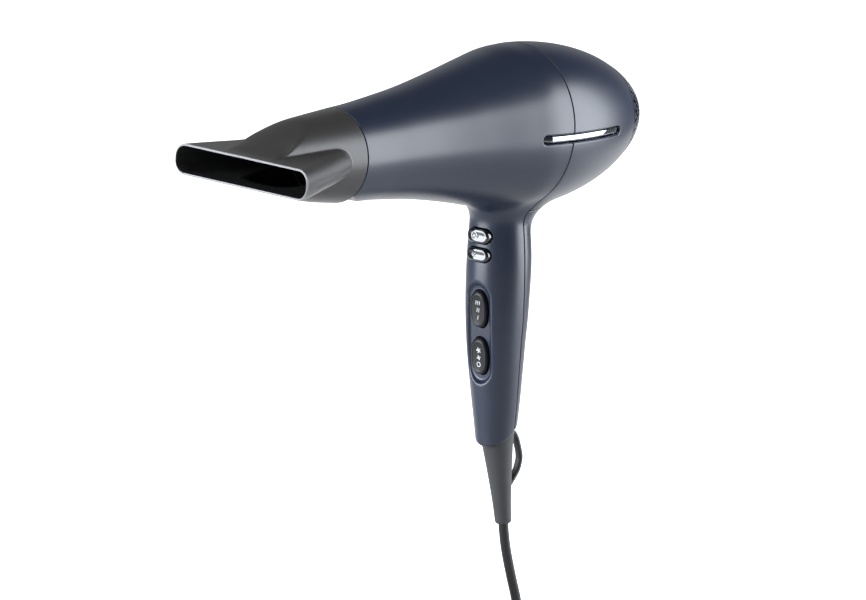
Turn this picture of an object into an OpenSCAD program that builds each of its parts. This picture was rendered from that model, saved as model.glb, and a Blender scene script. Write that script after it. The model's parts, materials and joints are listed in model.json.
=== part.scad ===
// Hair dryer with a flat concentrator nozzle, built from its separate pieces.
// +X runs to the rear along the barrel, +Z is up, and the origin is the middle of the grip.

/* [Barrel] */
// Height of the outlet's centre above the middle of the grip
barrel_z = 110.8; // [108:0.2:113]
// Radius of the barrel at the outlet seam
outlet_r = 26.4; // [26:0.1:27]
// Distance from the rear housing's seam forward to the outlet seam
front_len = 148; // [147:0.5:149]
// Length of the rear housing's dome if it ran to a point
dome_len = 96; // [94:1:98]
// Wall thickness of the housings
wall = 2.6; // [2.4:0.1:2.8]
// Distance of the rear grille behind the rear housing's seam
grille_x = 71; // [70:0.5:72]

/* [Handle] */
// Distance the handle's axis moves back for each unit downward
lean = 0.084; // [0.08:0.002:0.088]
// Height of the cut that ends the handle, on its axis
handle_end = -63; // [-64:0.5:-62]
// Angle of that cut
handle_cut = 34; // [32:1:36]

/* [Nozzle] */
// Distance from the outlet seam to the nozzle's mouth
nozzle_len = 73.5; // [72:0.5:75]
// Width of the mouth
mouth_w = 100; // [96:1:102]
// Height of the mouth
mouth_h = 17.4; // [16.6:0.2:18]
// Wall thickness of the nozzle
nozzle_wall = 1.5; // [1.4:0.1:1.6]

/* [Controls] */
// Width of the two push-button openings
button_w = 17; // [16.6:0.1:17.2]
// Distance that a push button travels
button_travel = 2; // [1:0.1:2.2]
// Width of the two rocker openings
rocker_w = 13.8; // [13.4:0.1:14]
// Height of the two rocker openings
rocker_h = 23.2; // [22.6:0.1:23.4]

/* [Cord] */
// Diameter of the mains lead
cord_d = 5.8; // [5.6:0.1:6]
// Radius of a plug pin
pin_r = 2.4; // [2.3:0.05:2.45]
// Distance between the two plug pins
pin_gap = 19; // [18.5:0.1:19.5]

/* [Hidden] */

NAVY = [0.16, 0.19, 0.27];
CHARCOAL = [0.24, 0.24, 0.25];
BLACK = [0.05, 0.05, 0.06];
CHROME = [0.8, 0.82, 0.86];
MICA = [0.72, 0.66, 0.52];
STEEL = [0.62, 0.63, 0.65];
COPPER = [0.72, 0.42, 0.24];
BRASS = [0.78, 0.64, 0.34];
CREAM = [0.86, 0.84, 0.78];

shell_fn = 48;
round_fn = 48;
thin = 0.02;
// Gap between neighbouring housings, and the edge of a block that stands for a half space
clear = 0.1;
block = 200;

// Barrel: [x from the rear seam, radius, rise of the centre above the outlet's centre]
BARREL = [[-front_len, outlet_r, 0], [-133, 27.3, 0.6], [-118, 28.5, 1.4],
    [-88, 32, 2.6], [-58, 37.3, 3.6], [-28, 43.6, 4.3], [0, 47.1, 5.2]];
barrel_r = 47.1;
dome_power = 1.8;
dome_rise = 2.4;
seam_tilt = 3;
seam_overlap = 6;
barrel_step = 14;
dome_step = 8;

// Handle: [height, radius]
HANDLE = [[-72, 10.6], [-60, 11.6], [-43, 13.5], [-20, 15.4], [-8, 16.3], [4, 17.1],
    [16, 17.9], [33, 18.2], [44, 17.9], [54, 17.2], [61, 16.8], [68, 18.4]];
handle_low = -72;
handle_top = 82;
neck_z = 68;
neck_flare = 0.55;
parting = 3;
cover_top = 69;
cavity_end = -52;

// A smooth curve through the rows of a table, by Hermite pieces; col is the column read.
function slope(t, i, col) =
    let (a = max(0, i - 1), b = min(len(t) - 1, i + 1))
    (t[b][col] - t[a][col]) / (t[b][0] - t[a][0]);
function row_of(t, x, i = 0) = i >= len(t) - 2 || x < t[i + 1][0] ? i : row_of(t, x, i + 1);
function curve(t, x, col) =
    let (i = row_of(t, x), w = t[i + 1][0] - t[i][0], u = (x - t[i][0]) / w)
    t[i][col] * (1 - 3 * u * u + 2 * u * u * u) + t[i + 1][col] * (3 * u * u - 2 * u * u * u)
    + w * (slope(t, i, col) * (u - 2 * u * u + u * u * u)
        + slope(t, i + 1, col) * (u * u * u - u * u));

function dome_at(x) = min(1, max(0, x / dome_len));
function barrel_rad(x) =
    x <= 0 ? curve(BARREL, x, 1) : barrel_r * sqrt(1 - pow(dome_at(x), dome_power));
function barrel_mid(x) = barrel_z + (x <= 0 ? curve(BARREL, x, 2)
    : BARREL[len(BARREL) - 1][2] + dome_rise * sin(90 * dome_at(x)));
function handle_rad(z) = curve(HANDLE, min(z, neck_z), 1) + neck_flare * max(0, z - neck_z);
function handle_x(z) = -lean * z;

module barrel_disc(x, grow) {
    translate([x, 0, barrel_mid(x)]) rotate([0, 90, 0])
        cylinder(r = barrel_rad(x) + grow, h = thin, $fn = shell_fn);
}

// The barrel's solid between two places along it, made larger or smaller by grow.
module barrel(x0, x1, grow = 0, step = barrel_step) {
    n = ceil((x1 - x0) / step);
    for (i = [0 : n - 1]) hull() {
        barrel_disc(x0 + (x1 - x0) * i / n, grow);
        barrel_disc(x0 + (x1 - x0) * (i + 1) / n, grow);
    }
}

module handle_disc(z, grow) {
    translate([handle_x(z), 0, z]) cylinder(r = handle_rad(z) + grow, h = thin, $fn = shell_fn);
}

module handle(z0, z1, grow = 0) {
    n = ceil((z1 - z0) / 10);
    for (i = [0 : n - 1]) hull() {
        handle_disc(z0 + (z1 - z0) * i / n, grow);
        handle_disc(z0 + (z1 - z0) * (i + 1) / n, grow);
    }
}

// Everything behind the rear housing's seam.
module behind_seam(gap = 0) {
    translate([gap, 0, barrel_mid(0)]) rotate([0, seam_tilt, 0])
        translate([0, -block / 2, -block / 2]) cube(block);
}

// Everything below the cut that ends the handle, raised by up.
module below_cut(up = 0) {
    translate([handle_x(handle_end), 0, handle_end + up]) rotate([0, -handle_cut, 0])
        translate([-block / 2, -block / 2, -block]) cube(block);
}

// What lies behind the handle's parting face, below the underside of the neck.
module behind_parting(gap = 0) {
    rotate([0, -atan(lean), 0]) translate([parting + gap, -block / 2, cover_top - gap - block])
        cube(block);
}

// --- controls: places on the front of the handle ---------------------------------------
cool_z = 54.5;
boost_z = 43.2;
heat_z = 11.5;
speed_z = -16;
face_tilt = 8.4;
panel_mid = -2.4;
panel_half = 30;
panel_w = 17.4;
panel_x = -14.35;
tray_wall = 1.6;
panel_depth = 0.8;
button_h = 9.6;
rocker_proud = 1.2;
rocker_deep = 2.6;
rocker_rim = 0.4;
// The rockers' pins: how far they lie behind the panel, their radius, length and posts
pivot_in = 1;
pivot_r = 0.7;
pivot_len = 9;
pivot_gap = 0.3;
post_r = 1;
post_w = 3.6;

// Puts its children on the sloping face at height z, with local -X pointing outward.
module on_panel(z) {
    translate([panel_x + (panel_mid - z) * tan(face_tilt), 0, z])
        rotate([0, -face_tilt, 0]) children();
}

module on_grip(z) {
    translate([handle_x(z) - handle_rad(z), 0, z]) children();
}

// A stadium lying in the YZ plane, w wide along Y and h high along Z, depth d along +X.
module stadium_yz(w, h, d) {
    r = min(w, h) / 2;
    rotate([0, 90, 0]) linear_extrude(d) hull() {
        translate([-(h / 2 - r), -(w / 2 - r)]) circle(r, $fn = 32);
        translate([h / 2 - r, w / 2 - r]) circle(r, $fn = 32);
    }
}

// A stadium lying in the XZ plane, extruded along +Y.
module stadium_xz(w, h, d) {
    rotate([90, 0, 0]) translate([0, 0, -d]) linear_extrude(d) hull() {
        translate([-(w - h) / 2, 0]) circle(h / 2, $fn = 32);
        translate([(w - h) / 2, 0]) circle(h / 2, $fn = 32);
    }
}

module control_cuts() {
    on_panel(panel_mid) translate([-10, 0, 0])
        stadium_yz(panel_w, 2 * panel_half, 10 + panel_depth);
    for (z = [heat_z, speed_z]) on_panel(z) translate([-5, 0, 0])
        stadium_yz(rocker_w, rocker_h, 12);
    for (z = [cool_z, boost_z]) on_grip(z) translate([-3, 0, 0])
        stadium_yz(button_w, button_h, 12);
}

// --- polished strips -------------------------------------------------------------------
strip_x0 = -23;
strip_x1 = 48;
strip_h = 6;
strip_z = 116;
strip_deep = 0.7;
strip_thick = 0.9;

// The strip's stadium on the side given by s, cut from the layer between two depths.
module strip_band(s, from, to, grow = 0) {
    intersection() {
        translate([(strip_x0 + strip_x1) / 2, s > 0 ? 30 : -60, strip_z])
            stadium_xz(strip_x1 - strip_x0 + 2 * grow, strip_h + 2 * grow, 30);
        difference() {
            barrel(strip_x0 - 4, strip_x1 + 4, -from);
            barrel(strip_x0 - 5, strip_x1 + 5, -to);
        }
    }
}

module strip(s) {
    color(CHROME) strip_band(s, strip_deep, strip_deep + strip_thick);
}

// --- housings --------------------------------------------------------------------------
module main_housing() {
    color(NAVY) difference() {
        union() {
            difference() {
                barrel(-front_len, seam_overlap);
                behind_seam();
            }
            difference() {
                handle(handle_low, handle_top);
                intersection() {
                    barrel(-seam_overlap, grille_x, 1.5 * clear, dome_step);
                    behind_seam();
                }
            }
        }
        barrel(-front_len - clear, seam_overlap + 2, -wall);
        handle(cavity_end, neck_z, -wall);
        handle(60, handle_top - 10, -wall - 3);
        behind_parting();
        below_cut();
        control_cuts();
        relief_pocket();
        for (s = [-1, 1]) strip_band(s, -2, strip_deep + strip_thick + clear / 2, clear);
    }
    color(NAVY) screw_boss(SCREW_Z[0], handle_rad(SCREW_Z[0]) + parting - wall);
    panel_tray();
}

// Tray that makes the floor and the sides of the recessed panel.
module panel_tray() {
    color(NAVY) difference() {
        intersection() {
            handle(handle_low, handle_top);
            on_panel(panel_mid) translate([-4, 0, 0]) stadium_yz(panel_w + 2 * tray_wall,
                2 * (panel_half + tray_wall), 4 + panel_depth + tray_wall);
        }
        control_cuts();
    }
}

module rear_housing() {
    color(NAVY) difference() {
        intersection() {
            barrel(-seam_overlap, grille_x, 0, dome_step);
            behind_seam(clear);
        }
        barrel(-seam_overlap - 2, grille_x + 0.5, -wall, dome_step);
        for (s = [-1, 1]) strip_band(s, -2, strip_deep + strip_thick + clear / 2, clear);
    }
}

module handle_back_cover() {
    color(NAVY) difference() {
        intersection() {
            handle(handle_low, handle_top);
            behind_parting(clear);
        }
        handle(cavity_end, cover_top + 2, -wall);
        barrel(-seam_overlap, grille_x, 2 * clear, dome_step);
        below_cut();
        relief_pocket();
        for (z = SCREW_Z) handle_screw_hole(z);
    }
}

// Dome of the grille: its radius at a distance behind the seam.
grille_r = 29.6;
grille_thick = 1.6;
grille_tip = dome_len - 1;
grille_mid = barrel_mid(grille_x);
hole_rings = 5;
hole_pitch = 5.1;
hole_r = 1.7;
skirt_r = 27.5;
skirt_thick = 1.5;
filter_pitch = 5;
filter_hole_r = 1.8;

module grille_profile(inset) {
    steps = 9;
    depth = grille_tip - grille_x - inset;
    points = [for (i = [0 : steps]) let (a = 90 * i / steps)
        [(grille_r - inset) * cos(a), depth * pow(sin(a), 0.9)]];
    polygon(concat([[0, 0]], points));
}

module rear_grille() {
    color(NAVY) translate([grille_x + 0.1, 0, grille_mid]) rotate([0, 90, 0]) difference() {
        union() {
            rotate_extrude($fn = round_fn * 2) difference() {
                grille_profile(0);
                grille_profile(grille_thick);
            }
            tube(grille_r - 0.8, skirt_r - skirt_thick, 1.2, 96);
            translate([0, 0, -3]) tube(skirt_r, skirt_r - skirt_thick, 4.2, 96);
        }
        cylinder(r = hole_r, h = 40, $fn = 16);
        for (ring = [1 : hole_rings]) for (k = [0 : 6 * ring - 1])
            rotate([0, 0, 360 * k / (6 * ring) + 14 * ring])
                translate([hole_pitch * ring, 0, 2]) cylinder(r = hole_r, h = 40, $fn = 16);
    }
}

module filter_mesh() {
    color(STEEL) translate([grille_x - 2.8, 0, grille_mid]) rotate([0, 90, 0])
        difference() {
            cylinder(r = skirt_r - skirt_thick - thin, h = 0.6, $fn = round_fn);
            for (i = [-4 : 4]) for (j = [-4 : 4])
                if (norm([i, j]) < 4.5) translate([filter_pitch * i, filter_pitch * j, -1])
                    cylinder(r = filter_hole_r, h = 3, $fn = 16);
        }
}

// --- outlet and nozzle -----------------------------------------------------------------
guard_x = -front_len + 4;
spigot_r = 22;
spigot_out = 12;
clip_r = 22.35;
clip_out_r = 23.2;
collar_bore = 23.5;

module at_outlet(x) {
    translate([x, 0, barrel_z]) rotate([0, 90, 0]) children();
}

module tube(r_out, r_in, h, fn = round_fn) {
    difference() {
        cylinder(r = r_out, h = h, $fn = fn);
        translate([0, 0, -1]) cylinder(r = r_in, h = h + 2, $fn = fn);
    }
}

module outlet_ring() {
    color(BLACK) {
        at_outlet(-front_len - spigot_out) tube(spigot_r, spigot_r - 1.6, 28);
        at_outlet(-front_len + 2) difference() {
            cylinder(r = outlet_r - wall - 0.2, h = 3, $fn = round_fn);
            translate([0, 0, -1]) cylinder(r = spigot_r - 0.4, h = 5, $fn = round_fn);
        }
    }
}

module outlet_guard() {
    color(STEEL) at_outlet(guard_x) {
        for (r = [5, 10, 15, 20]) tube(r + 0.35, r - 0.35, 1.2);
        for (a = [0, 60, 120]) rotate([0, 0, a])
            translate([-spigot_r + 1.7, -0.4, 0]) cube([2 * spigot_r - 3.4, 0.8, 1.2]);
    }
}

module snap_ring() {
    color(BLACK) at_outlet(-front_len - 8) tube(clip_out_r, clip_r, 5, 72);
}

mouth_corner = 7.4;

// The mouth's outline as a thin slab, w wide and h high, at a distance x.
module slab(x, w, h, z) {
    r = min(h / 2, mouth_corner);
    translate([x, 0, z]) rotate([0, 90, 0]) linear_extrude(thin) hull()
        for (s = [-1, 1]) for (t = [-1, 1])
            translate([s * (h / 2 - r), t * (w / 2 - r)]) circle(r, $fn = 24);
}

mouth_z = barrel_z - 3.1;
mouth_x = -front_len - nozzle_len;
root_x = -front_len - 9;
root_w = 50;
root_h = 25;
cone_x = -front_len - 58;
cone_r = 20.2;
ramp_x = -front_len - 8;

// The flat duct, from the mouth back into the collar.
module fishtail(inset) {
    hull() {
        slab(mouth_x - (inset > 0 ? thin : 0), mouth_w - 2 * inset, mouth_h - 2 * inset, mouth_z);
        slab(root_x, root_w - 2 * inset, root_h - 2 * inset, barrel_z - 1.6);
    }
}

// The round collar, planed off towards the duct above and below.
module collar(inset) {
    intersection() {
        hull() {
            at_outlet(-front_len - 0.2) cylinder(r = outlet_r - inset, h = thin, $fn = 72);
            at_outlet(cone_x) cylinder(r = cone_r - inset, h = thin, $fn = 72);
        }
        hull() {
            slab(-front_len + 1, 80, 2 * outlet_r - 2 * inset + 2, barrel_z);
            slab(ramp_x, 80, 2 * outlet_r - 2 * inset, barrel_z);
            slab(cone_x - 2, 80, mouth_h - 1.5 * inset, mouth_z);
        }
    }
}

module nozzle() {
    color(CHARCOAL) difference() {
        union() {
            fishtail(0);
            collar(0);
        }
        fishtail(nozzle_wall);
        collar(nozzle_wall + 1);
        at_outlet(-front_len - 14.5) cylinder(r = collar_bore, h = 20, $fn = 72);
    }
}

// --- heater ----------------------------------------------------------------------------
heat_axis = barrel_z + 1;
shield_r = 21.4;
shield_x = -130;
shield_len = 62;
board_r = 17.4;
coil_wire = 0.6;
coil_turns = 9;
coil_pitch = 5.6;
thermostat_r = 4;
thermostat_h = 5;
fuse_r = 2;
fuse_len = 12;
fuse_lead = 3;

module on_heat(x) {
    translate([x, 0, heat_axis]) rotate([0, 90, 0]) children();
}

module heat_shield() {
    color(MICA) on_heat(shield_x) tube(shield_r, shield_r - 0.5, shield_len);
}

module heater_boards() {
    color(MICA) on_heat(shield_x + 2) difference() {
        union() {
            translate([-board_r, -0.5, 0]) cube([2 * board_r, 1, shield_len - 6]);
            translate([-0.5, -board_r, 0]) cube([1, 2 * board_r, shield_len - 6]);
        }
        for (i = [0 : coil_turns - 1]) translate([0, 0, 4 + coil_pitch * i]) rotate_extrude($fn = round_fn)
            translate([board_r - 0.2, 0]) circle(coil_wire + 0.05, $fn = 16);
    }
}

module heater_coils() {
    color(STEEL) on_heat(shield_x + 2) for (i = [0 : coil_turns - 1])
        translate([0, 0, 4 + coil_pitch * i]) rotate_extrude($fn = round_fn)
            translate([board_r - 0.2, 0]) circle(coil_wire, $fn = 16);
}

module thermostat() {
    color(CREAM) translate([shield_x + 40, 6.5, heat_axis + 0.5])
        cylinder(r = thermostat_r, h = thermostat_h, $fn = round_fn);
}

module thermal_fuse() {
    color(STEEL) translate([shield_x + 30, -7, heat_axis + 2.5]) rotate([0, 90, 0]) {
        cylinder(r = fuse_r, h = fuse_len, $fn = 24);
        translate([0, 0, -fuse_lead]) cylinder(r = fuse_r / 4, h = fuse_len + 2 * fuse_lead, $fn = 16);
    }
}

// --- motor -----------------------------------------------------------------------------
motor_z = barrel_z + 4.6;
shaft_r = 2;
bearing_r = 6.5;
front_bearing_x = -42;
rear_bearing_x = 30;
core_x = -10;
core_len = 28;
core_r = 13;
field_r = 25;
fan_x = 38;
fan_blades = 9;
fan_len = 11;
hub_r = 9;
blade_angle = 38;
blade_len = 19;
bars = 12;
commutator_x = -26;
commutator_r = 8;
commutator_len = 11;
tube_r = 32.8;
tube_thick = 1.6;
tube_len = 82;
bell_r = 10;
bell_len = 7;
arm_len = 21.7;
brush_size = [6, 12, 6];

module on_motor(x) {
    translate([x, 0, motor_z]) rotate([0, 90, 0]) children();
}

module rotor() {
    color(STEEL) {
        on_motor(front_bearing_x) cylinder(r = shaft_r, h = fan_x + 12 - front_bearing_x, $fn = 32);
        on_motor(core_x) difference() {
            cylinder(r = core_r, h = core_len, $fn = round_fn);
            for (i = [0 : bars - 1]) rotate([0, 0, 360 * i / bars]) translate([core_r - 3, -1, -1])
                cube([5, 2, core_len + 2]);
        }
    }
}

module commutator() {
    color(COPPER) on_motor(commutator_x) difference() {
        tube(commutator_r, shaft_r, commutator_len);
        for (i = [0 : bars - 1]) rotate([0, 0, 360 * i / bars]) translate([commutator_r - 1, -0.25, -1])
            cube([2, 0.5, commutator_len + 2]);
    }
}

module motor_field() {
    color(STEEL) on_motor(core_x) difference() {
        intersection() {
            cylinder(r = field_r + 3, h = core_len, $fn = 64);
            translate([-field_r, -field_r, 0]) cube([2 * field_r, 2 * field_r, core_len]);
        }
        translate([0, 0, -1]) cylinder(r = core_r + 0.6, h = core_len + 2, $fn = round_fn);
        for (s = [-1, 1]) translate([s * 17 - 3, -14, -1]) cube([6, 28, core_len + 2]);
    }
}

module field_windings() {
    color(COPPER) on_motor(core_x - 3) for (s = [-1, 1])
        translate([s * 17 - 2.7, -13.6, 0]) cube([5.4, 27.2, core_len + 6]);
}

module bearing(x) {
    color(BRASS) on_motor(x) tube(bearing_r, shaft_r + 0.04, 6);
}

module front_bearing() { bearing(front_bearing_x); }
module rear_bearing() { bearing(rear_bearing_x); }

module brush_holders() {
    color(BRASS) on_motor(-23.5) for (s = [-1, 1])
        translate([-brush_size[0] / 2, s * (commutator_r + 6.4) - brush_size[1] / 2, 0]) cube(brush_size);
}

// Bell that holds the front bearing and the field, with three arms to the vane ring.
module motor_mount() {
    color(CREAM) {
        on_motor(front_bearing_x - 1) difference() {
            cylinder(r = bell_r, h = bell_len, $fn = round_fn);
            translate([0, 0, 1]) cylinder(r = bearing_r, h = bell_len, $fn = round_fn);
            translate([0, 0, -1]) cylinder(r = shaft_r + 0.6, h = 3, $fn = 32);
        }
        on_motor(front_bearing_x + 1) for (a = [0 : 60 : 300]) rotate([0, 0, a])
            translate([bell_r - 0.4, -1, 0]) cube([arm_len, 2, 4]);
        on_motor(rear_bearing_x - 1) difference() {
            cylinder(r = bell_r, h = bell_len, $fn = round_fn);
            translate([0, 0, -1]) cylinder(r = bearing_r, h = bell_len + 2, $fn = round_fn);
        }
        on_motor(rear_bearing_x) for (a = [30 : 60 : 330]) rotate([0, 0, a])
            translate([bell_r - 0.4, -1, 0]) cube([arm_len, 2, 4]);
    }
}

// Tube round the motor and the fan, carried by the arms of the motor mount.
module stator_vanes() {
    color(CREAM) {
        on_motor(front_bearing_x - 2) tube(tube_r, tube_r - tube_thick, tube_len, 72);
        on_motor(front_bearing_x + 38) for (a = [45 : 90 : 315]) rotate([0, 0, a])
            translate([tube_r - 4.75, -1, 0]) cube([3.5, 2, 10]);
    }
}

module fan() {
    color(BLACK) on_motor(fan_x) {
        tube(hub_r, shaft_r, fan_len);
        for (i = [0 : fan_blades - 1]) rotate([0, 0, 360 * i / fan_blades])
            translate([0, 0, fan_len / 2]) rotate([blade_angle, 0, 0])
                translate([hub_r - 0.5, -0.6, -6]) cube([blade_len, 1.2, 12]);
    }
}

// --- ioniser and handle insides --------------------------------------------------------
ion_x = -66;
ion_z = 82.3;
ion_size = [20, 16, 6];
needle_r = 0.8;
needle_len = 18;
needle_tip = 8;

module ioniser() {
    color(BLACK) translate([ion_x, -ion_size[1] / 2, ion_z]) cube(ion_size);
}

module ion_needle() {
    color(STEEL) translate([ion_x - needle_len, 0, ion_z + 4.3]) rotate([0, 90, 0]) {
        cylinder(r1 = needle_r / 4, r2 = needle_r, h = needle_tip, $fn = 24);
        translate([0, 0, needle_tip]) cylinder(r = needle_r, h = needle_len - needle_tip, $fn = 24);
    }
}

carrier_x = 5.6;
carrier_w = 19;
carrier_thick = 1.6;
upper_carrier_x = -11;
switch_x = carrier_x - 1.4;
switch_w = 12.8;
switch_h = 17.2;
switch_deep = 3.8;

module switch_carrier() {
    color(CREAM) on_panel(panel_mid) translate([carrier_x + 2.4, -carrier_w / 2, -34])
        cube([carrier_thick, carrier_w, 66]);
    color(CREAM) {
        translate([upper_carrier_x, -carrier_w / 2, 35]) cube([carrier_thick, carrier_w, 26]);
        screw_boss(SCREW_Z[1], handle_x(SCREW_Z[1]) + parting - upper_carrier_x - carrier_thick);
    }
}

module at_pivot(w, r) {
    translate([pivot_in, 0, 0]) rotate([90, 0, 0]) cylinder(r = r, h = w, center = true, $fn = 24);
}

// A switch whose post carries the rocker's pin.
module rocker_switch(z) {
    color(BLACK) on_panel(z) {
        translate([switch_x, -switch_w / 2, -switch_h / 2]) cube([switch_deep, switch_w, switch_h]);
        translate([pivot_in, -post_w / 2, -post_r]) cube([switch_x - pivot_in + 1, post_w, 2 * post_r]);
        at_pivot(post_w, post_r);
        at_pivot(pivot_len, pivot_r);
    }
}

module heat_switch() { rocker_switch(heat_z); }
module speed_switch() { rocker_switch(speed_z); }

micro_x = -14;
micro_size = [3, 13, 6.4];

module microswitch(z) {
    color(BLACK) translate([micro_x, -micro_size[1] / 2, z - micro_size[2] / 2]) cube(micro_size);
}

module cool_microswitch() { microswitch(cool_z); }
module boost_microswitch() { microswitch(boost_z); }

spring_x = -16.7;
spring_len = 2.7;

module spring_pair(z) {
    color(STEEL) for (s = [-1, 1]) translate([spring_x, 5 * s, z]) rotate([0, 90, 0])
        tube(1.1, 0.7, spring_len, 24);
}

module cool_springs() { spring_pair(cool_z); }
module boost_springs() { spring_pair(boost_z); }

// A push-button cap: a stadium whose front follows the grip, with a shallow finger dish.
module button_cap(z) {
    color(BLACK) on_grip(z) {
        difference() {
            translate([-2.2, 0, 0]) stadium_yz(button_w - 0.8, button_h - 0.8, 7);
            translate([-26.2, 0, 0]) sphere(r = 24.6, $fn = 96);
        }
    }
}

module cool_button() { button_cap(cool_z); }
module boost_button() { button_cap(boost_z); }

// A rocker cap that stands proud of the panel, on a pin through its middle.
module rocker_cap(z) {
    color(CHARCOAL) on_panel(z) difference() {
        union() {
            translate([-rocker_rim, 0, 0])
                stadium_yz(rocker_w - 1, rocker_h - 1.4, rocker_rim + rocker_deep);
            translate([-rocker_proud, 0, 0]) hull() {
                stadium_yz(rocker_w - 2.6, rocker_h - 5, thin);
                translate([rocker_proud - rocker_rim, 0, 0])
                    stadium_yz(rocker_w - 1, rocker_h - 1.4, thin);
            }
        }
        translate([pivot_in - post_r - pivot_gap, -post_w / 2 - pivot_gap, -post_r - 3 * pivot_gap])
            cube([2 * rocker_deep, post_w + 2 * pivot_gap, 2 * post_r + 6 * pivot_gap]);
        at_pivot(pivot_len + 2 * pivot_gap, pivot_r + pivot_gap);
    }
}

module heat_rocker() { rocker_cap(heat_z); }
module speed_rocker() { rocker_cap(speed_z); }

// --- strain relief, clamp, leads and screws -------------------------------------------
relief_top = [5.2, -60];
relief_end = [17, -116.6];
relief_angle = atan((relief_end[0] - relief_top[0]) / (relief_top[1] - relief_end[1]));
relief_len = norm(relief_end - relief_top);
relief_mid = 34;
relief_r = [9.6, 6.3, 4.7];
loop_r = 17.5;
loop_thick = 2.4;
loop_half = 2.5;
loop_mid = [10.8, -80];

module at_relief() {
    translate([relief_top[0], 0, relief_top[1]]) rotate([0, 180 - relief_angle, 0]) children();
}

// Space for the top of the strain relief in the end of the handle.
module relief_pocket() {
    at_relief() translate([0, 0, -0.1]) cylinder(r = relief_r[0] + 0.1, h = 20, $fn = round_fn);
    at_relief() translate([0, 0, -12]) cylinder(r = 6, h = 12.2, $fn = round_fn);
    translate([0, -loop_half - 0.3, 0]) rotate([90, 0, 0]) translate([loop_mid[0], loop_mid[1], 0])
        translate([0, 0, -2 * loop_half - 0.6])
            cylinder(r = loop_r + 0.3, h = 2 * loop_half + 0.6, $fn = round_fn);
}

module strain_relief() {
    color(CHARCOAL) {
        at_relief() difference() {
            union() {
                cylinder(r1 = relief_r[0], r2 = relief_r[1], h = relief_mid, $fn = round_fn);
                translate([0, 0, relief_mid]) cylinder(r1 = relief_r[1], r2 = relief_r[2],
                    h = relief_len - relief_mid, $fn = round_fn);
            }
            translate([0, 0, -1]) cylinder(r = cord_d / 2 + 0.02, h = 13, $fn = round_fn);
        }
        intersection() {
            translate([loop_mid[0], loop_half, loop_mid[1]]) rotate([90, 0, 0])
                tube(loop_r, loop_r - loop_thick, 2 * loop_half);
            translate([loop_mid[0] + 0.5, -loop_r, loop_mid[1] - loop_r]) cube(2 * loop_r);
        }
    }
}

sheath_up = 15.5;
clamp_w = 13;
clamp_h = 5;
lead_r = 1.2;
// Route of one core, from the sheath round the screw's boss and up into the barrel
LEAD = [[1.9, 1.2, -43.4], [1.8, 5.2, -42.4], [2.4, 6.5, -30], [2.4, 6.5, 30], [-6, 6.5, 71]];

// A round rod of radius r between two points.
module rod(a, b, r) {
    v = b - a;
    translate(a) rotate([0, acos(v[2] / norm(v)), atan2(v[1], v[0])])
        cylinder(r = r, h = norm(v), $fn = 20);
}

module cord_clamp() {
    color(CREAM) at_relief() difference() {
        translate([-clamp_w / 2, -clamp_w / 2, -sheath_up]) cube([clamp_w, clamp_w, clamp_h]);
        translate([0, 0, -sheath_up - 1]) cylinder(r = cord_d / 2, h = clamp_h + 2, $fn = round_fn);
    }
}

// The lead's sheath through the clamp, and the two cores that run up to the motor.
module inner_leads() {
    color(BLACK) at_relief() translate([0, 0, -sheath_up - 1])
        cylinder(r = cord_d / 2, h = sheath_up + 12, $fn = round_fn);
    for (s = [0, 1]) color(s > 0 ? [0.35, 0.2, 0.12] : [0.15, 0.3, 0.6]) mirror([0, s, 0]) {
        for (i = [0 : len(LEAD) - 2]) rod(LEAD[i], LEAD[i + 1], lead_r);
        for (i = [1 : len(LEAD) - 2]) translate(LEAD[i]) sphere(r = lead_r, $fn = 20);
    }
}

SCREW_Z = [-38, 48.8];
screw_r = 1.5;
head_r = 3;
head_deep = 1.6;
boss_r = 3;

module at_screw(z) {
    translate([handle_x(z), 0, z]) rotate([0, 90, 0]) children();
}

// Clearance hole through the back cover, with a recess for the head.
module handle_screw_hole(z) {
    at_screw(z) cylinder(r = screw_r + 0.1, h = 30, $fn = 32);
    at_screw(z) translate([0, 0, handle_rad(z) - head_deep]) cylinder(r = head_r + 0.1, h = 9, $fn = 32);
}

// A boss of the given length that takes a screw, ending at the parting face.
module screw_boss(z, length) {
    at_screw(z) translate([0, 0, parting - 0.1 - length]) difference() {
        cylinder(r = boss_r, h = length, $fn = 32);
        translate([0, 0, length - 6]) cylinder(r = screw_r + 0.05, h = 8, $fn = 32);
    }
}

module screws() {
    color(STEEL) for (z = SCREW_Z) at_screw(z) {
        translate([0, 0, handle_rad(z) - head_deep]) difference() {
            cylinder(r = head_r, h = 1.3, $fn = 32);
            translate([-1.8, -0.3, 0.7]) cube([3.6, 0.6, 1]);
            translate([-0.3, -1.8, 0.7]) cube([0.6, 3.6, 1]);
        }
        translate([0, 0, parting - 5]) cylinder(r = screw_r, $fn = 32,
            h = handle_rad(z) - head_deep - parting + 5.05);
    }
}

// --- mains lead ------------------------------------------------------------------------
// Route of the hanging stretch, from inside the strain relief down to the coil.
ROUTE = [[17, 0, -116.6], [18.3, 0, -123], [21, 0, -133], [26.5, 0, -148], [33, 0, -164],
    [38.5, 0, -180], [42, 0, -196], [43, 0, -210.8]];
// The coil has three layers of turns, each three turns wide.
turn_gap = 6;
coil_r = 38.5;
coil_inner_r = coil_r - 2 * turn_gap;
coil_mid = [43 - coil_r, turn_gap, -226];
coil_half = 9.1;
// Route of the last stretch, from the coil down to the plug.
TAIL = [[31, 12, -226], [31, 14.2, -233], [31, 17.6, -241], [31, 18.6, -252],
    [31, 18.6, -264], [31, 18.6, -276], [31, 18.6, -286]];
tube_sides = 10;
ring_gap = 9;

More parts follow.
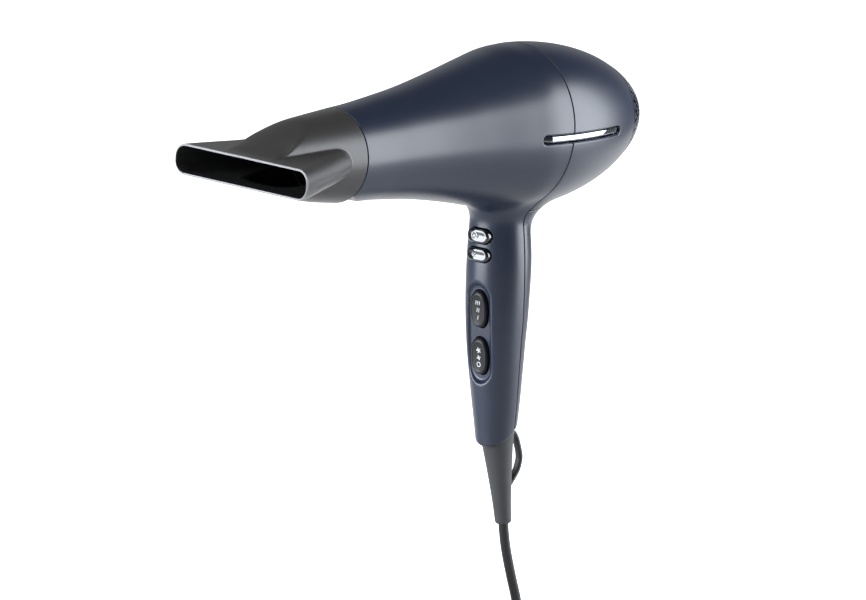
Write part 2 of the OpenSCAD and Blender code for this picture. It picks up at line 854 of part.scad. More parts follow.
// A curve through the points of p: point u along piece i, by cubic pieces.
function ahead(p, i) = p[min(len(p) - 1, i + 1)] - p[max(0, i - 1)];
function spot(p, i, u) =
    p[i] * (1 - 3 * u * u + 2 * u * u * u) + p[i + 1] * (3 * u * u - 2 * u * u * u)
    + ahead(p, i) / 2 * (u - 2 * u * u + u * u * u) + ahead(p, i + 1) / 2 * (u * u * u - u * u);
function route(p) = concat([for (i = [0 : len(p) - 2])
    let (n = max(1, round(norm(p[i + 1] - p[i]) / ring_gap)))
    for (k = [0 : n - 1]) spot(p, i, k / n)], [p[len(p) - 1]]);
function unit(v) = v / norm(v);
function ring_of(c, dir, r) =
    let (side = unit(cross(dir, [0, 1, 0])), other = cross(dir, side))
    [for (k = [0 : tube_sides - 1]) let (a = 360 * k / tube_sides)
        c + r * (cos(a) * side + sin(a) * other)];

module swept(p, r) {
    line = route(p);
    n = len(line);
    points = [for (i = [0 : n - 1])
        each ring_of(line[i], unit(line[min(n - 1, i + 1)] - line[max(0, i - 1)]), r)];
    s = tube_sides;
    sides = [for (i = [0 : n - 2]) for (k = [0 : s - 1])
        [i * s + k, i * s + (k + 1) % s, (i + 1) * s + (k + 1) % s, (i + 1) * s + k]];
    first = [for (k = [s - 1 : -1 : 0]) k];
    last = [for (k = [0 : s - 1]) (n - 1) * s + k];
    polyhedron(points = points, faces = concat([first], sides, [last]));
}

module cord_tube() {
    color(BLACK) swept(ROUTE, cord_d / 2);
}

module cord_coil() {
    color(BLACK) translate([coil_mid[0], coil_mid[1] + coil_half, coil_mid[2]])
        rotate([90, 0, 0]) rotate_extrude($fn = 72)
            translate([coil_inner_r - cord_d / 2, 0])
                square([coil_r - coil_inner_r + cord_d, 2 * coil_half]);
}

module cord_tail() {
    color(BLACK) swept(TAIL, cord_d / 2);
}

// Strap round the coil's turns, turned to lie square across them.
tie_angle = 150;
tie_thick = 1.4;
tie_w = 10;
tie_slack = 0.6;

module cord_tie() {
    r0 = coil_inner_r - cord_d / 2;
    r1 = coil_r + cord_d / 2;
    color(BLACK) translate(coil_mid) rotate([0, -tie_angle, 0]) difference() {
        translate([r0 - tie_thick - tie_slack, -coil_half - tie_thick, -tie_w / 2])
            cube([r1 - r0 + 2 * tie_thick + 1, 2 * (coil_half + tie_thick), tie_w]);
        translate([r0 - tie_slack, -coil_half, -tie_w])
            cube([r1 - r0 + 1, 2 * coil_half, 2 * tie_w]);
    }
}

// --- plug ------------------------------------------------------------------------------
plug_top = TAIL[len(TAIL) - 1];
plug_face = -340;
pin_len = 19;

module at_plug() {
    translate([plug_top[0], plug_top[1], plug_face]) children();
}

module plug_section(z, w, d) {
    translate([0, 0, z]) linear_extrude(thin) hull() for (s = [-1, 1])
        translate([s * (w - d) / 2, 0]) circle(d / 2, $fn = 32);
}

module plug_body() {
    color(BLACK) at_plug() {
        hull() {
            plug_section(0, 35, 25);
            plug_section(8, 35.4, 25.6);
            plug_section(22, 28, 20);
            plug_section(30, 15, 13);
        }
        translate([0, 0, 29]) cylinder(r1 = 6, r2 = 4.2,
            h = plug_top[2] - plug_face - 29, $fn = round_fn);
    }
}

module plug_pins() {
    color(STEEL) at_plug() for (s = [-1, 1]) translate([s * pin_gap / 2, 0, -pin_len])
        cylinder(r = pin_r, h = pin_len, $fn = 32);
}

main_housing();
rear_housing();
handle_back_cover();
rear_grille();
filter_mesh();
strip(1);  // strip_left
strip(-1);  // strip_right
outlet_ring();
outlet_guard();
snap_ring();
nozzle();
heat_shield();
heater_boards();
heater_coils();
thermostat();
thermal_fuse();
stator_vanes();
motor_field();
field_windings();
motor_mount();
rotor();
commutator();
front_bearing();
rear_bearing();
brush_holders();
fan();
ioniser();
ion_needle();
switch_carrier();
heat_switch();
speed_switch();
cool_microswitch();
boost_microswitch();
cool_springs();
boost_springs();
heat_rocker();
speed_rocker();
cool_button();
boost_button();
strain_relief();
cord_clamp();
inner_leads();
screws();
cord_tube();
cord_coil();
cord_tail();
cord_tie();
plug_body();
plug_pins();
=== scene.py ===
"""The hair dryer's looks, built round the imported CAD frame. Shapes are worked out in millimetres
in the CAD frame and turned into metres when a mesh is made."""
import json
import math

import bpy
import numpy as np
from mathutils import Matrix, Vector

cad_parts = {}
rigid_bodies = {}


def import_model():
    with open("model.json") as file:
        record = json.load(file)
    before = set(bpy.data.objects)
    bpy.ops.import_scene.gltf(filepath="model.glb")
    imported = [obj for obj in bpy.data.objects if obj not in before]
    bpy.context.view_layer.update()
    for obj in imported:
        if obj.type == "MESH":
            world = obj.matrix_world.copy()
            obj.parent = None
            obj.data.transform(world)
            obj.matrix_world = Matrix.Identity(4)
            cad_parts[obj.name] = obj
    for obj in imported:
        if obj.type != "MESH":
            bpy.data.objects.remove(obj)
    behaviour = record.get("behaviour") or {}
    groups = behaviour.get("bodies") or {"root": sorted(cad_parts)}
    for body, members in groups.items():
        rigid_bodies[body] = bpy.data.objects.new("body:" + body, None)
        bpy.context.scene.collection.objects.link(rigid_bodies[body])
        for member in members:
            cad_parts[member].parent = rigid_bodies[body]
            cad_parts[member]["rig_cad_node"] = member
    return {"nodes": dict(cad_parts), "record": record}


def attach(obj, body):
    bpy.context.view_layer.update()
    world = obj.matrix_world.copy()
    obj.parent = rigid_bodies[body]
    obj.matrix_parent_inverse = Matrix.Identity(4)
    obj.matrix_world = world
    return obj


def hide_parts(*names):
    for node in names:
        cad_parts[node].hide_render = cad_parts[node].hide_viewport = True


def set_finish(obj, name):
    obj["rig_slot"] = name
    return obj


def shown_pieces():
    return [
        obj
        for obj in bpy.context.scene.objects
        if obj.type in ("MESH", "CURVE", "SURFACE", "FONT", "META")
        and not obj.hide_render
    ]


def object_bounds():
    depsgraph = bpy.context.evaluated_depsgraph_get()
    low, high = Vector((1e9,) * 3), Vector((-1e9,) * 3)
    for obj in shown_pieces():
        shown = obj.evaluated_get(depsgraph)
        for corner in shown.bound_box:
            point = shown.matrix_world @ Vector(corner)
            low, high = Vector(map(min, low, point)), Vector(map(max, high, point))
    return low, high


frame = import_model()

cad_low, cad_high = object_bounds()
MM = 0.001


# --- camera ---
AZIMUTH = math.radians(-48.65)
ELEVATION = math.radians(10.89)
ROLL = math.radians(3.9)
LENS, SENSOR = 291.0, 36.0
CAMERA_AT = (-2.95867, -2.55371, 0.76430)


def new_object(name, data):
    thing = bpy.data.objects.new(name, data)
    bpy.context.scene.collection.objects.link(thing)
    return thing


def add_camera():
    data = bpy.data.cameras.new("camera")
    data.lens, data.sensor_width = LENS, SENSOR
    data.clip_start, data.clip_end = 0.1, 100.0
    camera = new_object("camera", data)
    sa, ca = math.sin(AZIMUTH), math.cos(AZIMUTH)
    se, ce = math.sin(ELEVATION), math.cos(ELEVATION)
    back = Vector((sa * ce, -ca * ce, se))
    level_right = Vector((ca, sa, 0))
    level_up = back.cross(level_right)
    right = level_right * math.cos(ROLL) + level_up * math.sin(ROLL)
    up = back.cross(right)
    turn = Matrix((right, up, back)).transposed()
    camera.matrix_world = Matrix.Translation(CAMERA_AT) @ turn.to_4x4()
    bpy.context.scene.camera = camera


add_camera()


# --- curves and sections, shared with the CAD ---
BARREL_Z, BARREL_R = 110.8, 47.1
OUTLET_X, GRILLE_X = -148.0, 71.0
DOME_LEN, DOME_POWER, DOME_RISE = 96.0, 1.85, 1.6
# Rows of the barrel: x, radius, height of the middle above BARREL_Z.
BARREL = [[-148, 26.4, 0], [-133, 27.3, 0.6], [-118, 28.5, 1.4], [-88, 32, 2.6],
          [-58, 37.3, 3.6], [-28, 43.6, 4.3], [-13, 46.4, 4.8], [0, 47.1, 5.2]]
# Rows of the handle: z and radius, then z and how far it bows backwards from a straight line.
HANDLE = [[-72, 11.1], [-60, 12.2], [-43, 14.0], [-20, 16.1], [-8, 17.0], [4, 17.8],
          [16, 18.3], [33, 18.6], [44, 18.4], [54, 17.8], [61, 17.3], [68, 17.2], [100, 17.5]]
BOW = [[-72, -0.5], [-60, -0.6], [-43, -0.8], [-20, -1.3], [-8, -1.3], [4, -0.9], [16, -0.5],
       [33, 0.3], [44, 0.7], [60, 0.7], [75, 0]]
LEAN = 0.084


def hermite(a, b, slope_a, slope_b, u, wide=1):
    """The cubic from a to b with the given slopes, at share u of a piece that is wide across."""
    return (a * (1 - 3 * u * u + 2 * u ** 3) + b * (3 * u * u - 2 * u ** 3)
            + wide * (slope_a * (u - 2 * u * u + u ** 3) + slope_b * (u ** 3 - u * u)))


def curve(table, x, column=1):
    """A smooth curve through the rows of a table: its first column is x, column the height."""
    t = np.array(table, float)
    at, value = t[:, 0], t[:, column]
    n = np.arange(len(t))
    before, after = np.maximum(n - 1, 0), np.minimum(n + 1, len(t) - 1)
    slope = (value[after] - value[before]) / (at[after] - at[before])
    x = np.clip(x, at[0], at[-1])
    i = np.clip(np.searchsorted(at, x, side="right") - 1, 0, len(t) - 2)
    w = at[i + 1] - at[i]
    return hermite(value[i], value[i + 1], slope[i], slope[i + 1], (x - at[i]) / w, w)


def barrel_rad(x):
    x = np.asarray(x, float)
    dome = np.clip(x / DOME_LEN, 0, 0.9999)
    return np.where(x <= 0, curve(BARREL, x), BARREL_R * np.sqrt(1 - dome ** DOME_POWER))


def barrel_mid(x):
    x = np.asarray(x, float)
    rise = BARREL[-1][2] + DOME_RISE * np.sin(np.pi / 2 * np.clip(x / DOME_LEN, 0, 1))
    return BARREL_Z + np.where(x <= 0, curve(BARREL, x, 2), rise)


def handle_x(z):
    return -LEAN * z + curve(BOW, z)


def handle_rad(z):
    return curve(HANDLE, z)


def smooth_min(a, b, k):
    h = np.clip(0.5 + 0.5 * (b - a) / k, 0, 1)
    return b + (a - b) * h - k * h * (1 - h)


def smooth_max(a, b, k):
    return -smooth_min(-a, -b, k)


def smooth_step(x, low, high):
    u = np.clip((x - low) / (high - low), 0, 1)
    return u * u * (3 - 2 * u)


# --- mesh tools ---
def make_object(name, shape, slot, *stands_for, body="dryer", normals=None, sharp=35, marks=None):
    """A mesh piece from points in millimetres and faces; normals holds one row per face corner,
    marks one material number per face."""
    points, faces = shape
    mesh = bpy.data.meshes.new(name)
    mesh.from_pydata((np.asarray(points) * MM).tolist(), [], [list(map(int, f)) for f in faces])
    mesh.update()
    mesh.shade_smooth()
    if normals is not None:
        mesh.normals_split_custom_set(np.asarray(normals).tolist())
    else:
        mesh.set_sharp_from_angle(angle=math.radians(sharp))
    if marks is not None:
        mesh.polygons.foreach_set("material_index", np.asarray(marks, np.int32))
    piece = new_object(name, mesh)
    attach(piece, body)
    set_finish(piece, slot)
    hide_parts(*stands_for)
    return piece


def gradient(field, p, step=0.02):
    out = np.empty_like(p)
    for axis in range(3):
        shift = np.zeros(3)
        shift[axis] = step
        out[:, axis] = (field(p + shift) - field(p - shift)) / (2 * step)
    return out


def unit(v):
    return v / np.maximum(np.linalg.norm(v, axis=-1, keepdims=True), 1e-9)


def settle(field, p, rounds=4):
    """Moves points onto the surface where field is 0."""
    for _ in range(rounds):
        g = gradient(field, p)
        p = p - (field(p) / np.maximum((g * g).sum(1), 1e-6))[:, None] * g
    return p


def columns(*parts):
    return np.stack(parts, 1)


def edges_of(faces):
    """The edges of faces with equal corner counts, as pairs of point numbers."""
    n = faces.shape[1]
    return np.concatenate([faces[:, [k, (k + 1) % n]] for k in range(n)])


CORNERS = np.array([[i, j, k] for i in (0, 1) for j in (0, 1) for k in (0, 1)])
EDGES = [(a, b) for a in range(8) for b in range(a + 1, 8)
         if np.abs(CORNERS[a] - CORNERS[b]).sum() == 1]


def surface_net(field, low, high, cell):
    """Triangles of the surface where field is 0 inside a box, on a grid of the given cell."""
    low, high = np.array(low, float), np.array(high, float)
    count = np.ceil((high - low) / cell).astype(int) + 1
    axes = [low[i] + cell * np.arange(count[i]) for i in range(3)]
    value = np.empty(count)
    yy, zz = np.meshgrid(axes[1], axes[2], indexing="ij")
    for i, x in enumerate(axes[0]):
        row = columns(np.full(yy.size, x), yy.ravel(), zz.ravel())
        value[i] = field(row).reshape(yy.shape)
    inside = value < 0
    number = sum(inside[c[0]:count[0] - 1 + c[0], c[1]:count[1] - 1 + c[1],
                        c[2]:count[2] - 1 + c[2]].astype(int) for c in CORNERS)
    mixed = (number > 0) & (number < 8)
    cells = np.argwhere(mixed)
    index = np.full(mixed.shape, -1)
    index[mixed] = np.arange(len(cells))
    corner = columns(*[value[tuple((cells + c).T)] for c in CORNERS])
    total, crossings = np.zeros((len(cells), 3)), np.zeros(len(cells))
    for a, b in EDGES:
        cut = (corner[:, a] < 0) != (corner[:, b] < 0)
        t = corner[cut, a] / (corner[cut, a] - corner[cut, b])
        total[cut] += CORNERS[a] + t[:, None] * (CORNERS[b] - CORNERS[a])
        crossings[cut] += 1
    points = low + cell * (cells + total / crossings[:, None])
    quads = []
    for axis in range(3):
        u, v = (axis + 1) % 3, (axis + 2) % 3
        at = np.argwhere(np.diff(inside, axis=axis))
        at = at[(at[:, [u, v]] > 0).all(1) & (at[:, [u, v]] < count[[u, v]] - 1).all(1)]
        du, dv = np.eye(3, dtype=int)[[u, v]]
        quad = columns(*[index[tuple((at - back).T)] for back in (du + dv, dv, 0 * du, du)])
        flip = ~inside[tuple(at.T)]
        quad[flip] = quad[flip][:, ::-1]
        quads.append(quad[(quad >= 0).all(1)])
    quads = np.concatenate(quads)
    points = settle(field, points, 3)
    points = relax(field, points, quads)
    triangles = np.concatenate([quads[:, [0, 1, 2]], quads[:, [0, 2, 3]]])
    return points, triangles


def relax(field, points, quads, rounds=3):
    """Evens the mesh out along its surface."""
    ends = edges_of(quads)
    for _ in range(rounds):
        total, number = np.zeros_like(points), np.zeros(len(points))
        for a, b in ((0, 1), (1, 0)):
            np.add.at(total, ends[:, a], points[ends[:, b]])
            np.add.at(number, ends[:, a], 1)
        mean = total / np.maximum(number, 1)[:, None]
        whole = number >= 6  # an inner edge counts twice, one on the border once
        points = np.where(whole[:, None], 0.5 * points + 0.5 * mean, points)
        points = settle(field, points, 1)
    return settle(field, points, 2)


def refine(field, points, triangles, near):
    """Halves the edges that have an end where near is true."""
    marked = near(points)
    unique, back = np.unique(np.sort(edges_of(triangles), 1), axis=0, return_inverse=True)
    back = back.reshape(3, -1).T
    split = marked[unique[:, 0]] | marked[unique[:, 1]]
    middle = np.full(len(unique), -1)
    middle[split] = len(points) + np.arange(split.sum())
    new = (points[unique[split, 0]] + points[unique[split, 1]]) / 2
    points = np.concatenate([points, settle(field, new, 3)])
    m = middle[back]
    cut = m >= 0
    out = [triangles[cut.sum(1) == 0]]
    for turn in range(3):
        order = [turn, (turn + 1) % 3, (turn + 2) % 3]
        six = np.concatenate([triangles[:, order], m[:, order]], 1)
        a, b, c = cut[:, order].T
        for pick, new in ((a & ~b & ~c, ((0, 3, 2), (3, 1, 2))),
                          (a & b & ~c, ((3, 1, 4), (0, 3, 4), (0, 4, 2)))):
            out += [six[pick][:, corners] for corners in new]
    six = np.concatenate([triangles, m], 1)[cut.all(1)]
    out += [six[:, corners] for corners in ((0, 3, 5), (3, 1, 4), (5, 4, 2), (3, 4, 5))]
    return points, np.concatenate(out)


HALVINGS = 12


def trim(field, points, triangles, level):
    """Cuts the mesh where level is 0 and keeps the part where it is above. Gives points, triangles,
    the numbers of the points on the cut, and the cut's edges as pairs of those."""
    value = level(points)
    keep = value > 0
    number = keep[triangles].sum(1)
    whole = triangles[number == 3]
    rows = triangles[(number == 1) | (number == 2)]
    some = keep[rows]
    lone = np.where(some.sum(1) == 1, some.argmax(1), (~some).argmax(1))
    order = (lone[:, None] + np.arange(3)) % 3
    rows = np.take_along_axis(rows, order, 1)
    inside = keep[rows[:, 0]]
    pairs = np.sort(np.concatenate([rows[:, [0, 1]], rows[:, [0, 2]]]), 1)
    unique, back = np.unique(pairs, axis=0, return_inverse=True)
    back = back.reshape(2, -1)
    a, b = points[unique[:, 0]], points[unique[:, 1]]
    sign_a = keep[unique[:, 0]]
    low, high = np.zeros(len(unique)), np.ones(len(unique))
    for _ in range(HALVINGS):
        t = (low + high) / 2
        same = (level(a + t[:, None] * (b - a)) > 0) == sign_a
        low, high = np.where(same, t, low), np.where(same, high, t)
    cross = settle(field, a + low[:, None] * (b - a), 2)
    first = len(points)
    c1, c2 = first + back[0], first + back[1]
    tip = columns(rows[inside, 0], c1[inside], c2[inside])
    out = ~inside
    base_a = columns(c1[out], rows[out, 1], rows[out, 2])
    base_b = columns(c1[out], rows[out, 2], c2[out])
    edges = np.concatenate([columns(c1[inside], c2[inside]), columns(c2[out], c1[out])])
    points = np.concatenate([points, cross])
    triangles = np.concatenate([whole, tip, base_a, base_b])
    used, small = np.unique(triangles, return_inverse=True)
    new = np.full(len(points), -1)
    new[used] = np.arange(len(used))
    edges = new[edges]
    return points[used], small.reshape(triangles.shape), np.unique(edges), edges


LIP_STEPS = 4
OUTSIDE, RIM, INSIDE = 0, 1, 2


class Shell:
    """A thin-walled piece: a surface trimmed by features, with rounded edges and an inner side.
    features is a list of (distance, radius): material is kept where distance is above 0."""

    def __init__(self, field, points, triangles, features, wall):
        def level(p):
            return np.min([f(p) - r for f, r in features], axis=0)

        p, t, rim, edges = trim(field, points, triangles, level)
        n = unit(gradient(field, p))
        g = gradient(level, p[rim])
        g -= (g * n[rim]).sum(1)[:, None] * n[rim]
        away = -unit(g)
        near = np.argmin([f(p[rim]) - r for f, r in features], axis=0)
        radius = np.array([r for _, r in features])[near]
        self.points, self.faces, self.normals, self.marks = [p], [], [], []
        self._add(t, n[t], OUTSIDE)
        place = np.full(len(p), -1)
        place[rim] = np.arange(len(rim))
        start, end = place[edges].T
        rings, turned = [rim], [n[rim]]

        def add_ring(out, deep, normal):
            total = sum(len(block) for block in self.points)
            self.points.append(p[rim] + out[:, None] * away - deep * n[rim])
            rings.append(total + np.arange(len(rim)))
            turned.append(normal)

        for a in math.pi / 2 * np.arange(1, LIP_STEPS + 1) / LIP_STEPS:
            add_ring(radius * math.sin(a), (radius * (1 - math.cos(a)))[:, None],
                     math.cos(a) * n[rim] + math.sin(a) * away)
        add_ring(radius, wall, away)
        for k in range(len(rings) - 1):
            quad, corner = [columns(r[k][end], r[k][start], r[k + 1][start], r[k + 1][end])
                            for r in (rings, turned)]
            self._add(quad, corner, RIM)
        first, last = rings[-1][-1] + 1, rings[-1]
        self.points.append(p - wall * n)
        self._add(t[:, ::-1] + first, -n[t[:, ::-1]], INSIDE)
        quad = columns(last[end], last[start], *(first + edges).T)
        self._add(quad, np.repeat(-n[edges[:, :1]], 4, axis=1), INSIDE)

    def _add(self, faces, normals, mark):
        self.faces.append(faces)
        self.normals.append(normals)
        self.marks.append(np.full(len(faces), mark))

    def build(self, name, slot, *stands_for, marked=False, **settings):
        points = np.concatenate(self.points)
        faces = [row for block in self.faces for row in block.tolist()]
        corners = np.concatenate([n.reshape(-1, 3) for n in self.normals])
        marks = np.concatenate(self.marks) if marked else None
        return make_object(name, (points, faces), slot, *stands_for, normals=corners, marks=marks,
                           **settings)


# --- loft and sweep ---
def loft(rings, cap_first=True, cap_last=True, closed=False):
    """Quads between rings of equal count; n-gon caps at the ends unless closed into a ring."""
    n, m = len(rings[0]), len(rings)
    points = np.concatenate(rings)
    faces = []
    for i in range(m if closed else m - 1):
        a, b = i * n, (i + 1) % m * n
        faces += [(a + k, a + (k + 1) % n, b + (k + 1) % n, b + k) for k in range(n)]
    if cap_first and not closed:
        faces.append(tuple(range(n - 1, -1, -1)))
    if cap_last and not closed:
        faces.append(tuple((m - 1) * n + k for k in range(n)))
    return points, faces


def join(*parts):
    """One list of points and faces from several."""
    points, faces, total = [], [], 0
    for p, f in parts:
        points.append(np.asarray(p, float))
        faces += [tuple(total + k for k in row) for row in f]
        total += len(p)
    return np.concatenate(points), faces


def superellipse(n, w, h, power=2):
    """Points round an outline w wide and h high; a power of 2 is an ellipse."""
    a = 2 * np.pi * np.arange(n) / n
    c, s = np.cos(a), np.sin(a)
    return columns(w / 2 * np.sign(c) * np.abs(c) ** (2 / power),
                   h / 2 * np.sign(s) * np.abs(s) ** (2 / power))


def stadium(n, w, h):
    """Points round a stadium w wide and h high, w the longer, evenly spaced from its right."""
    r, flat = h / 2, w - h
    quarter = math.pi * r / 2
    s = (2 * flat + 4 * quarter) * np.arange(n) / n
    top = np.clip(s - quarter, 0, flat)
    bottom = np.clip(s - 3 * quarter - flat, 0, flat)
    a = (s - top - bottom) / r
    return columns(flat / 2 - top + bottom + r * np.cos(a), r * np.sin(a))


def sweep(path, section):
    """A section of 2-D points carried along a path; its first axis stays square to y."""
    ahead = unit(np.gradient(path, axis=0))
    side = unit(np.cross(ahead, (0, 1.0, 0)))
    other = np.cross(ahead, side)
    return loft([c + section[:, :1] * a + section[:, 1:] * b for c, a, b in zip(path, side, other)])


# --- mains lead ---
CORD_D = 5.8
# Both routes are in metres, as in the record.
ROUTE = [[0.017, 0, -0.1166], [0.0183, 0, -0.123], [0.021, 0, -0.133], [0.0265, 0, -0.148],
         [0.033, 0, -0.164], [0.0385, 0, -0.18], [0.042, 0, -0.196], [0.043, 0, -0.2108]]
TAIL = [[0.031, 0.012, -0.226], [0.031, 0.0142, -0.233], [0.031, 0.0176, -0.241],
        [0.031, 0.0186, -0.252], [0.031, 0.0186, -0.264], [0.031, 0.0186, -0.276],
        [0.031, 0.0186, -0.286]]
TURN_GAP = 6.0
COIL_R, COIL_TURNS = 38.5, 8
COIL_MID = np.array([4.5, 6.0, -226.0])
CROSS_EVERY, CROSS_WIDE = 320.0, 38.0


def smooth_route(rows, per):
    """The CAD's curve through a route's points, with per steps to each piece."""
    p = np.array(rows) / MM
    around = np.concatenate([p[:1], p, p[-1:]])
    slope = (around[2:] - around[:-2]) / 2
    out = []
    for i in range(len(p) - 1):
        out += [hermite(p[i], p[i + 1], slope[i], slope[i + 1], u) for u in np.arange(per) / per]
    return np.array(out + [p[-1]])


def coil_path():
    """Turns laid three wide and three deep; the lead moves one place over at each crossing."""
    places = [(0, 0), (0, 1), (0, 2), (1, 2), (1, 1), (1, 0), (2, 0), (2, 1), (2, 2)]
    out = []
    for degrees in range(0, 360 * COIL_TURNS + 1, 10):
        layer, along = places[0]
        for k, (old, new) in enumerate(zip(places, places[1:])):
            cross = CROSS_EVERY * (k + 1)
            done = smooth_step(degrees, cross, cross + CROSS_WIDE)
            layer += done * (new[0] - old[0])
            along += done * (new[1] - old[1])
        r, a = COIL_R - TURN_GAP * layer, -math.radians(degrees)
        out.append(COIL_MID + [r * math.cos(a), TURN_GAP * (along - 1), r * math.sin(a)])
    return np.array(out)


def lead():
    hang, wound, last = smooth_route(ROUTE, 6), coil_path(), smooth_route(TAIL, 5)
    path = np.concatenate([hang, wound, last[1:]])
    length = np.linalg.norm(np.diff(path, axis=0), axis=1).sum()
    tube = sweep(path, superellipse(20, CORD_D, CORD_D))
    piece = make_object("mains_lead", tube, "lead_jacket", "cord_tube", "cord_coil", "cord_tail",
                        sharp=60)
    return piece, path, length


lead_piece, lead_path, lead_length = lead()


def plug_section(z, w, d, power=2.6, n=64):
    return np.column_stack([superellipse(n, w, d, power), np.full(n, z)])


def round_section(z, d, n=64):
    return plug_section(z, d, d, 2, n)


PLUG_FACE = -340.0
PLUG_AT = np.array(TAIL[-1]) / MM  # where the lead ends inside the plug's neck
PIN_R, PIN_GAP = 2.4, 19.0
# Rows of the plug: height above its face, width and depth.
PLUG_FOOT = [(0, 32.6, 22.8), (0.25, 33.8, 24), (1, 34.8, 25), (2.5, 35.2, 25.4), (7, 35.3, 25.5),
             (9, 34.9, 25.2), (10.2, 33.2, 23.7), (11, 33.0, 23.5)]
PLUG_SHOULDER = [(24.5, 25.6, 18.2), (27, 21, 15.6), (29.5, 15.5, 12.8), (31.5, 12.9, 12)]
PIN_PROFILE = [(0.4, PIN_R), (-1, PIN_R), (-17.0, PIN_R), (-18.1, 2.1), (-18.75, 1.45), (-19, 0.7)]


def plug():
    """Moulded two-pin plug: face, waist with grip ribs, shoulder and a ribbed neck."""
    base = np.array([PLUG_AT[0], PLUG_AT[1], PLUG_FACE])
    outline = list(PLUG_FOOT)
    for i in range(4):
        z, w, d = 12 + 3 * i, 32.6 - 1.5 * i, 23.2 - 1.15 * i
        outline += [(z + up, w + grow, d + grow)
                    for up, grow in ((0, 0), (0.5, 0.7), (1.6, 0.4), (2.1, -0.8))]
    rings = [plug_section(z, w, d) for z, w, d in outline + PLUG_SHOULDER]
    for i in range(5):
        z, d = 33 + 3.6 * i, 2 * (5.9 - 0.24 * i)
        rings += [round_section(z + up, d - less)
                  for up, less in ((0, 0), (2.0, 0.2), (2.2, 2.4), (3.2, 2.5))]
    top = PLUG_AT[2] - PLUG_FACE
    rings += [round_section(51.2, 9.2), round_section(top - 0.5, 8.4), round_section(top, 7.2)]
    body = make_object("plug", loft([r + base for r in rings]), "lead_jacket", "plug_body",
                       sharp=40)
    pins = []
    for s in (-1, 1):
        rings = [round_section(z, 2 * r, 28) + base + [s * PIN_GAP / 2, 0, 0]
                 for z, r in PIN_PROFILE]
        pins.append(loft([r[::-1] for r in rings]))
    return body, make_object("plug_pins_turned", join(*pins), "pin_metal", "plug_pins", sharp=50)


plug_piece, pins_piece = plug()


TIE_HALF, TIE_THICK = 4.2, 1.0
TIE_TURN = math.radians(-150)


def tie():
    """Strap with a buckle, round the coil's turns."""
    r0, r1 = COIL_R - 2 * TURN_GAP - CORD_D / 2, COIL_R + CORD_D / 2
    half_y = TURN_GAP + CORD_D / 2
    mid, long = (r0 + r1) / 2, r1 - r0
    outline = superellipse(48, long + 1.6, 2 * half_y + 1.2, 7)
    turn = Matrix.Rotation(TIE_TURN, 3, "Y")

    def put(*rows):
        return np.array([turn @ Vector(r) for r in np.column_stack(rows)]) + COIL_MID

    rings = []
    for w, grow in ((-1, 0), (-1, TIE_THICK), (1, TIE_THICK), (1, 0)):
        outer = outline * (1 + 2 * grow / np.array([long, 2 * half_y]))
        rings.append(put(mid + outer[:, 0], outer[:, 1], np.full(len(outer), w * TIE_HALF)))
    buckle = []
    for less, y in ((0, 0), (0, 0.3), (0.6, 0.5)):
        o = superellipse(24, 9 - less, 6.4 - less, 4)
        buckle.append(put(mid + o[:, 0], -half_y - 1.3 - np.full(len(o), y), o[:, 1]))
    return make_object("lead_tie", join(loft(rings, closed=True), loft(buckle)), "lead_jacket",
                       "cord_tie", sharp=40)


tie_piece = tie()


# --- body: barrel, handle and their blend ---
PANEL_MID, PANEL_X, FACE_TILT = -2.4, -14.1, math.radians(7.2)
OPEN_MID, OPEN_HALF, OPEN_W = -2.6, 28.5, 16.4
NECK_FRONT, NECK_REAR = 9.0, 17.0
HANDLE_TOP = 95.0
RECESS_DRAFT, FOOT_ROUND, LIP_ROUND = 0.55, 1.8, 1.3
COOL_Z, BOOST_Z, HEAT_Z, SPEED_Z = 54.3, 43.4, 11.5, -16.0
BUTTON_W, COOL_H, BOOST_H = 17.0, 9.0, 8.4
ROCKER_W, ROCKER_H, OVAL = 12.9, 22.6, 2.3


def stadium_distance(u, v, w, h):
    """Distance outside a stadium w along u and h along v."""
    r = min(w, h) / 2
    du = np.maximum(np.abs(u) - (w / 2 - r), 0)
    dv = np.maximum(np.abs(v) - (h / 2 - r), 0)
    return np.hypot(du, dv) - r


FAR = 50.0


def on_front(p, away):
    """A distance that counts only in front of the grip's middle."""
    return np.where(p[:, 0] < handle_x(p[:, 2]), away, FAR)


def front_opening(centre, w, h):
    """Distance outside a stadium at a height on the grip's front."""
    return lambda p: on_front(p, stadium_distance(p[:, 1], p[:, 2] - centre, w, h))


panel_distance = front_opening(OPEN_MID, OPEN_W, 2 * OPEN_HALF)


def body_field(p):
    """The outside of the barrel and the grip as one blended body, with the panel's recess."""
    x, y, z = p.T
    barrel = np.hypot(y, z - barrel_mid(x)) - barrel_rad(x)
    handle = np.hypot(x - handle_x(z), y) - handle_rad(z)
    handle = np.maximum(handle, z - HANDLE_TOP)
    k = NECK_FRONT + (NECK_REAR - NECK_FRONT) * smooth_step(x - handle_x(z), -6, 14)
    floor = (x - PANEL_X - (PANEL_MID - z) * math.tan(FACE_TILT)) * math.cos(FACE_TILT)
    draft = RECESS_DRAFT * np.minimum(floor + 0.8, 0)
    recess = smooth_max(0.85 * (panel_distance(p) + draft), floor, FOOT_ROUND)
    return smooth_max(smooth_min(barrel, handle, k), -recess, LIP_ROUND)


SEAM_TILT, SEAM_MID = math.tan(math.radians(3)), 116.0
PARTING, PARTING_SHIFT = 3.0, 2.0
COVER_TOP, COVER_SLOPE = 70.2, 0.12
GAP, EDGE = 0.2, 0.5


def seam_line(z):
    """x of the line that divides the front from the back: the handle's parting, then the seam."""
    low = handle_x(z) + PARTING - PARTING_SHIFT * smooth_step(z, 0, 50)
    high = (z - SEAM_MID) * SEAM_TILT
    share = smooth_step(z, 64, 74)
    return low * (1 - share) + high * share


def behind(p):
    return p[:, 0] - seam_line(p[:, 2])


